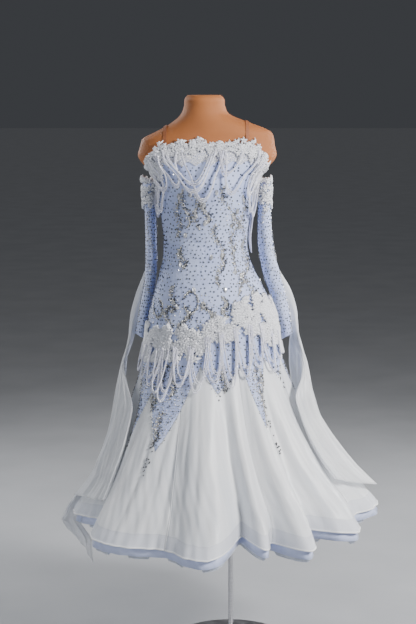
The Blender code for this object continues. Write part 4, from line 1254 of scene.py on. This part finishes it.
# %% [markdown]
# ## Crystals and beaded sprays
# Flat-backed crystals cover the bodice and sleeves, a finger's width apart, and follow the points
# down over the skirt. They are set on a staggered grid in which each one is moved a little. Sprays
# of small silver beads climb the bodice like feathers, with cut drops between them. A few stones
# trail on past the points, over the organza.

# %% Crystals on the bodice
STONE_LIFT = 0.0004


def staggered(width_step, height_step, low, high, around):
    """Rows of places, every other row shifted by half a step, each place moved by chance."""
    heights = np.arange(low, high, height_step)
    count = int(around / width_step)
    row, column = np.meshgrid(np.arange(len(heights)), np.arange(count), indexing="ij")
    share = (column + 0.5 * (row % 2)) / count
    share = share + rng.uniform(-0.28, 0.28, share.shape) / count
    z = heights[row] + rng.uniform(-0.25, 0.25, share.shape) * height_step
    return share.ravel(), z.ravel()


def bare(a, z):
    """True where no lace covers the bodice."""
    covered = (z > along(a, HIP_LACE, 1) - 0.002) & (z < along(a, HIP_LACE, 2) + 0.006)
    return ~covered & (z < along(a, NECKLINE) - 0.030)


share, z = staggered(0.0140, 0.0120, 0.66, 1.52, 0.86)
angle = share * 360 - 180
inside = bare(angle, z) & (z > along(angle, HIP_SEAM) + 0.008)
thin = rng.uniform(0, 1, len(z)) < np.clip(0.55 + 0.45 * np.cos(np.radians(angle)), 0.35, 1)
angle, z = angle[inside & thin], z[inside & thin]
sizes = rng.choice([0.0046, 0.0056, 0.0064], len(z))
stones = lay_on_figure(CRYSTAL, angle, z, sizes, STONE_LIFT, spins(len(z)))
piece("bodice_crystals", stones, STONE, "beads", flat=True)
print("crystals:", len(z))

# %% Crystals and streams of silver beads on the sleeves
def on_both_sleeves(shape, steps, low, chosen, draw_size):
    """Copies on a staggered grid round each sleeve, where chosen(turn, z) is true."""
    parts = []
    for _, table, _ in SLEEVES:
        share, z = staggered(*steps, low, 1.36, 0.18)
        turn = share * 360 - 180
        picked = chosen(turn, z)
        turn, z = turn[picked], z[picked]
        parts.append(lay_on(lambda a, b: on_sleeve(a, b, table), 1.0, shape, turn, z,
                            draw_size(len(z)), STONE_LIFT, np.zeros(len(z))))
    return joined(parts)


def in_stream(turn, z):
    """True along bands that wander round the sleeve: sin(2 turn + 9 sin(11 z)) over 0.8."""
    return np.sin(np.radians(turn) * 2 + 9 * np.sin(11 * z)) > 0.80


def everywhere(turn, z):
    """True at every place."""
    return np.full(z.shape, True)


stones = on_both_sleeves(CRYSTAL, (0.0115, 0.0110), 0.965, everywhere,
                         lambda count: rng.choice([0.0040, 0.0052], count))
piece("sleeve_crystals", stones, STONE, "beads", flat=True)
silver = on_both_sleeves(SEED, (0.0055, 0.0060), 0.98, in_stream,
                         lambda count: rng.uniform(0.0026, 0.0040, count))
piece("sleeve_beads", silver, SILVER, "beads")
print("sleeve bead faces:", len(silver[1]))

# %% Sprays of silver beads
SPRAYS = np.array([
    # x and height at the bottom, x and height at the top, sideways swing
    (-0.158, 1.262, -0.150, 1.372, 0.006), (-0.126, 1.290, -0.140, 1.400, 0.008),
    (-0.092, 1.285, -0.112, 1.400, -0.010), (-0.070, 1.300, -0.082, 1.376, 0.008),
    (-0.030, 1.195, -0.048, 1.300, 0.010), (-0.036, 1.120, -0.030, 1.215, -0.008),
    (-0.002, 1.290, -0.022, 1.410, 0.012), (0.008, 1.215, 0.004, 1.330, -0.010),
    (0.020, 1.090, 0.012, 1.240, 0.010), (0.036, 1.270, 0.030, 1.380, -0.008),
    (0.042, 1.150, 0.040, 1.260, 0.008), (-0.142, 1.170, -0.146, 1.230, 0.008),
    (-0.176, 1.040, -0.166, 1.120, 0.008), (-0.060, 1.030, -0.078, 1.075, 0.010),
    (-0.010, 1.030, -0.030, 1.090, -0.010), (0.060, 1.085, 0.036, 1.160, 0.010),
    (-0.196, 0.985, -0.180, 1.060, 0.010), (-0.145, 0.990, -0.130, 1.050, -0.010),
    (-0.245, 0.720, -0.210, 0.900, 0.006), (-0.236, 0.745, -0.180, 0.900, 0.004),
    (-0.225, 0.670, -0.196, 0.760, 0.004), (0.098, 0.725, 0.066, 0.900, 0.005),
    (0.105, 0.740, 0.080, 0.880, -0.004), (-0.290, 0.690, -0.262, 0.860, 0.006),
    (-0.018, 0.815, -0.024, 0.900, 0.004), (-0.178, 0.800, -0.160, 0.900, 0.006),
])
RINGS = np.array([
    # middle x and height, half width, half height, first and last turn in degrees
    (-0.118, 1.075, 0.020, 0.030, -70, 250), (-0.215, 1.050, 0.014, 0.026, 20, 300),
    (-0.100, 0.985, 0.022, 0.016, 0, 200), (0.020, 1.055, 0.018, 0.026, 60, 330),
])


def spray_places(count=210):
    """Beads about swinging stems, x0 + (x1 - x0) s + swing sin(2 pi s), and about part rings."""
    xs = []
    zs = []
    sides = []
    for x0, z0, x1, z1, swing in SPRAYS:
        s = rng.uniform(0, 1, count)
        away = rng.normal(0, 0.0056, count) * np.sin(np.pi * s) ** 0.4
        xs.append(x0 + (x1 - x0) * s + swing * np.sin(2 * np.pi * s) + away)
        zs.append(z0 + (z1 - z0) * s + rng.normal(0, 0.002, count))
        sides.append(away > 0.0012)
    for x, z, half, high, first, last in RINGS:
        turn = np.radians(rng.uniform(first, last, count))
        grow = 1 + rng.normal(0, 0.10, count)
        xs.append(x + half * grow * np.sin(turn))
        zs.append(z + high * grow * np.cos(turn))
        sides.append(grow < 0.97)
    return np.concatenate(xs), np.concatenate(zs), np.concatenate(sides)


spray_x, spray_z, inner = spray_places()
angle = front_angle(spray_x, spray_z)
kept = (np.abs(angle) < 84) & (spray_z > along(angle, HIP_SEAM) - 0.02) & bare(angle, spray_z)
scatter_share, scatter_z = staggered(0.0080, 0.0074, 0.67, 1.10, 0.90)
scatter = scatter_share * 180 - 90
share = np.clip((1.11 - scatter_z) / 0.16, 0, 1) * np.clip((50 - scatter) / 90, 0.35, 1)
share = np.where(scatter_z < 0.88, 1.5, share)
lie = rng.uniform(0, 1, len(scatter)) < 0.55 * share
lie = lie & (scatter_z > along(scatter, HIP_SEAM) - 0.012) & bare(scatter, scatter_z)
angle = np.concatenate([angle[kept], scatter[lie]])
spray_z = np.concatenate([spray_z[kept], scatter_z[lie]])
dark = np.concatenate([inner[kept] ^ (rng.uniform(0, 1, int(kept.sum())) < 0.15),
                       rng.uniform(0, 1, int(lie.sum())) < 0.25])
for name, picked, material in (
    ("bodice_sprays", ~dark, SILVER), ("bodice_spray_stones", dark, STONE),
):
    count = int(picked.sum())
    beads = lay_on_figure(SEED, angle[picked], spray_z[picked], rng.uniform(0.0030, 0.0050, count),
                          0.0005, spins(count))
    piece(name, beads, material, "beads")
print("spray beads:", len(angle))

# %% Stones that trail past the bodice's points
TRAILS = np.array([
    # angle and height at the top, angle and height at the end, stones
    (-62, 0.740, -66, 0.640, 14), (-37, 0.720, -41, 0.585, 26), (-98, 0.800, -99, 0.730, 10),
    (36, 0.860, 42, 0.640, 40), (3, 0.850, 5, 0.790, 8), (62, 0.880, 66, 0.810, 10),
])
trail_angle = []
trail_z = []
for top_angle, top_z, end_angle, end_z, stones in TRAILS:
    s = rng.uniform(0, 1, int(stones)) ** 1.3
    wander = rng.uniform(-2.6, 2.6, len(s)) * (1 - 0.5 * s)
    trail_angle.append(top_angle + (end_angle - top_angle) * s + wander)
    trail_z.append(top_z + (end_z - top_z) * s)
trail_angle = np.concatenate(trail_angle)
trail_z = np.concatenate(trail_z)
lift = crease_depth(trail_angle, trail_z) + crumple(trail_angle, trail_z) + 0.0006
trails = lay_on_figure(SEED, trail_angle, trail_z, rng.uniform(0.0046, 0.0066, len(trail_z)),
                       lift, spins(len(trail_z)))
piece("skirt_trails", trails, STONE, "beads")
print("trail stones:", len(trail_z))

# %% Cut drops
DROPS = np.array([
    # x and height on the front
    (-0.153, 1.380), (-0.120, 1.386), (-0.045, 1.392), (-0.081, 1.356), (-0.105, 1.326),
    (-0.078, 1.302), (0.015, 1.335), (0.021, 1.290), (-0.135, 1.266), (-0.060, 1.203),
    (0.030, 1.230), (-0.020, 1.110), (-0.110, 1.110), (0.040, 1.080), (-0.160, 1.060),
    (-0.050, 1.040), (0.010, 1.160), (-0.150, 1.180),
])
angle = front_angle(DROPS[:, 0], DROPS[:, 1])
drops = lay_on_figure(DROP, angle, DROPS[:, 1], np.full(len(angle), 0.0130), 0.0006,
                      rng.uniform(-0.5, 0.5, len(angle)))
piece("bodice_drops", drops, CUT, "beads", flat=True)
print("drops:", len(DROPS))
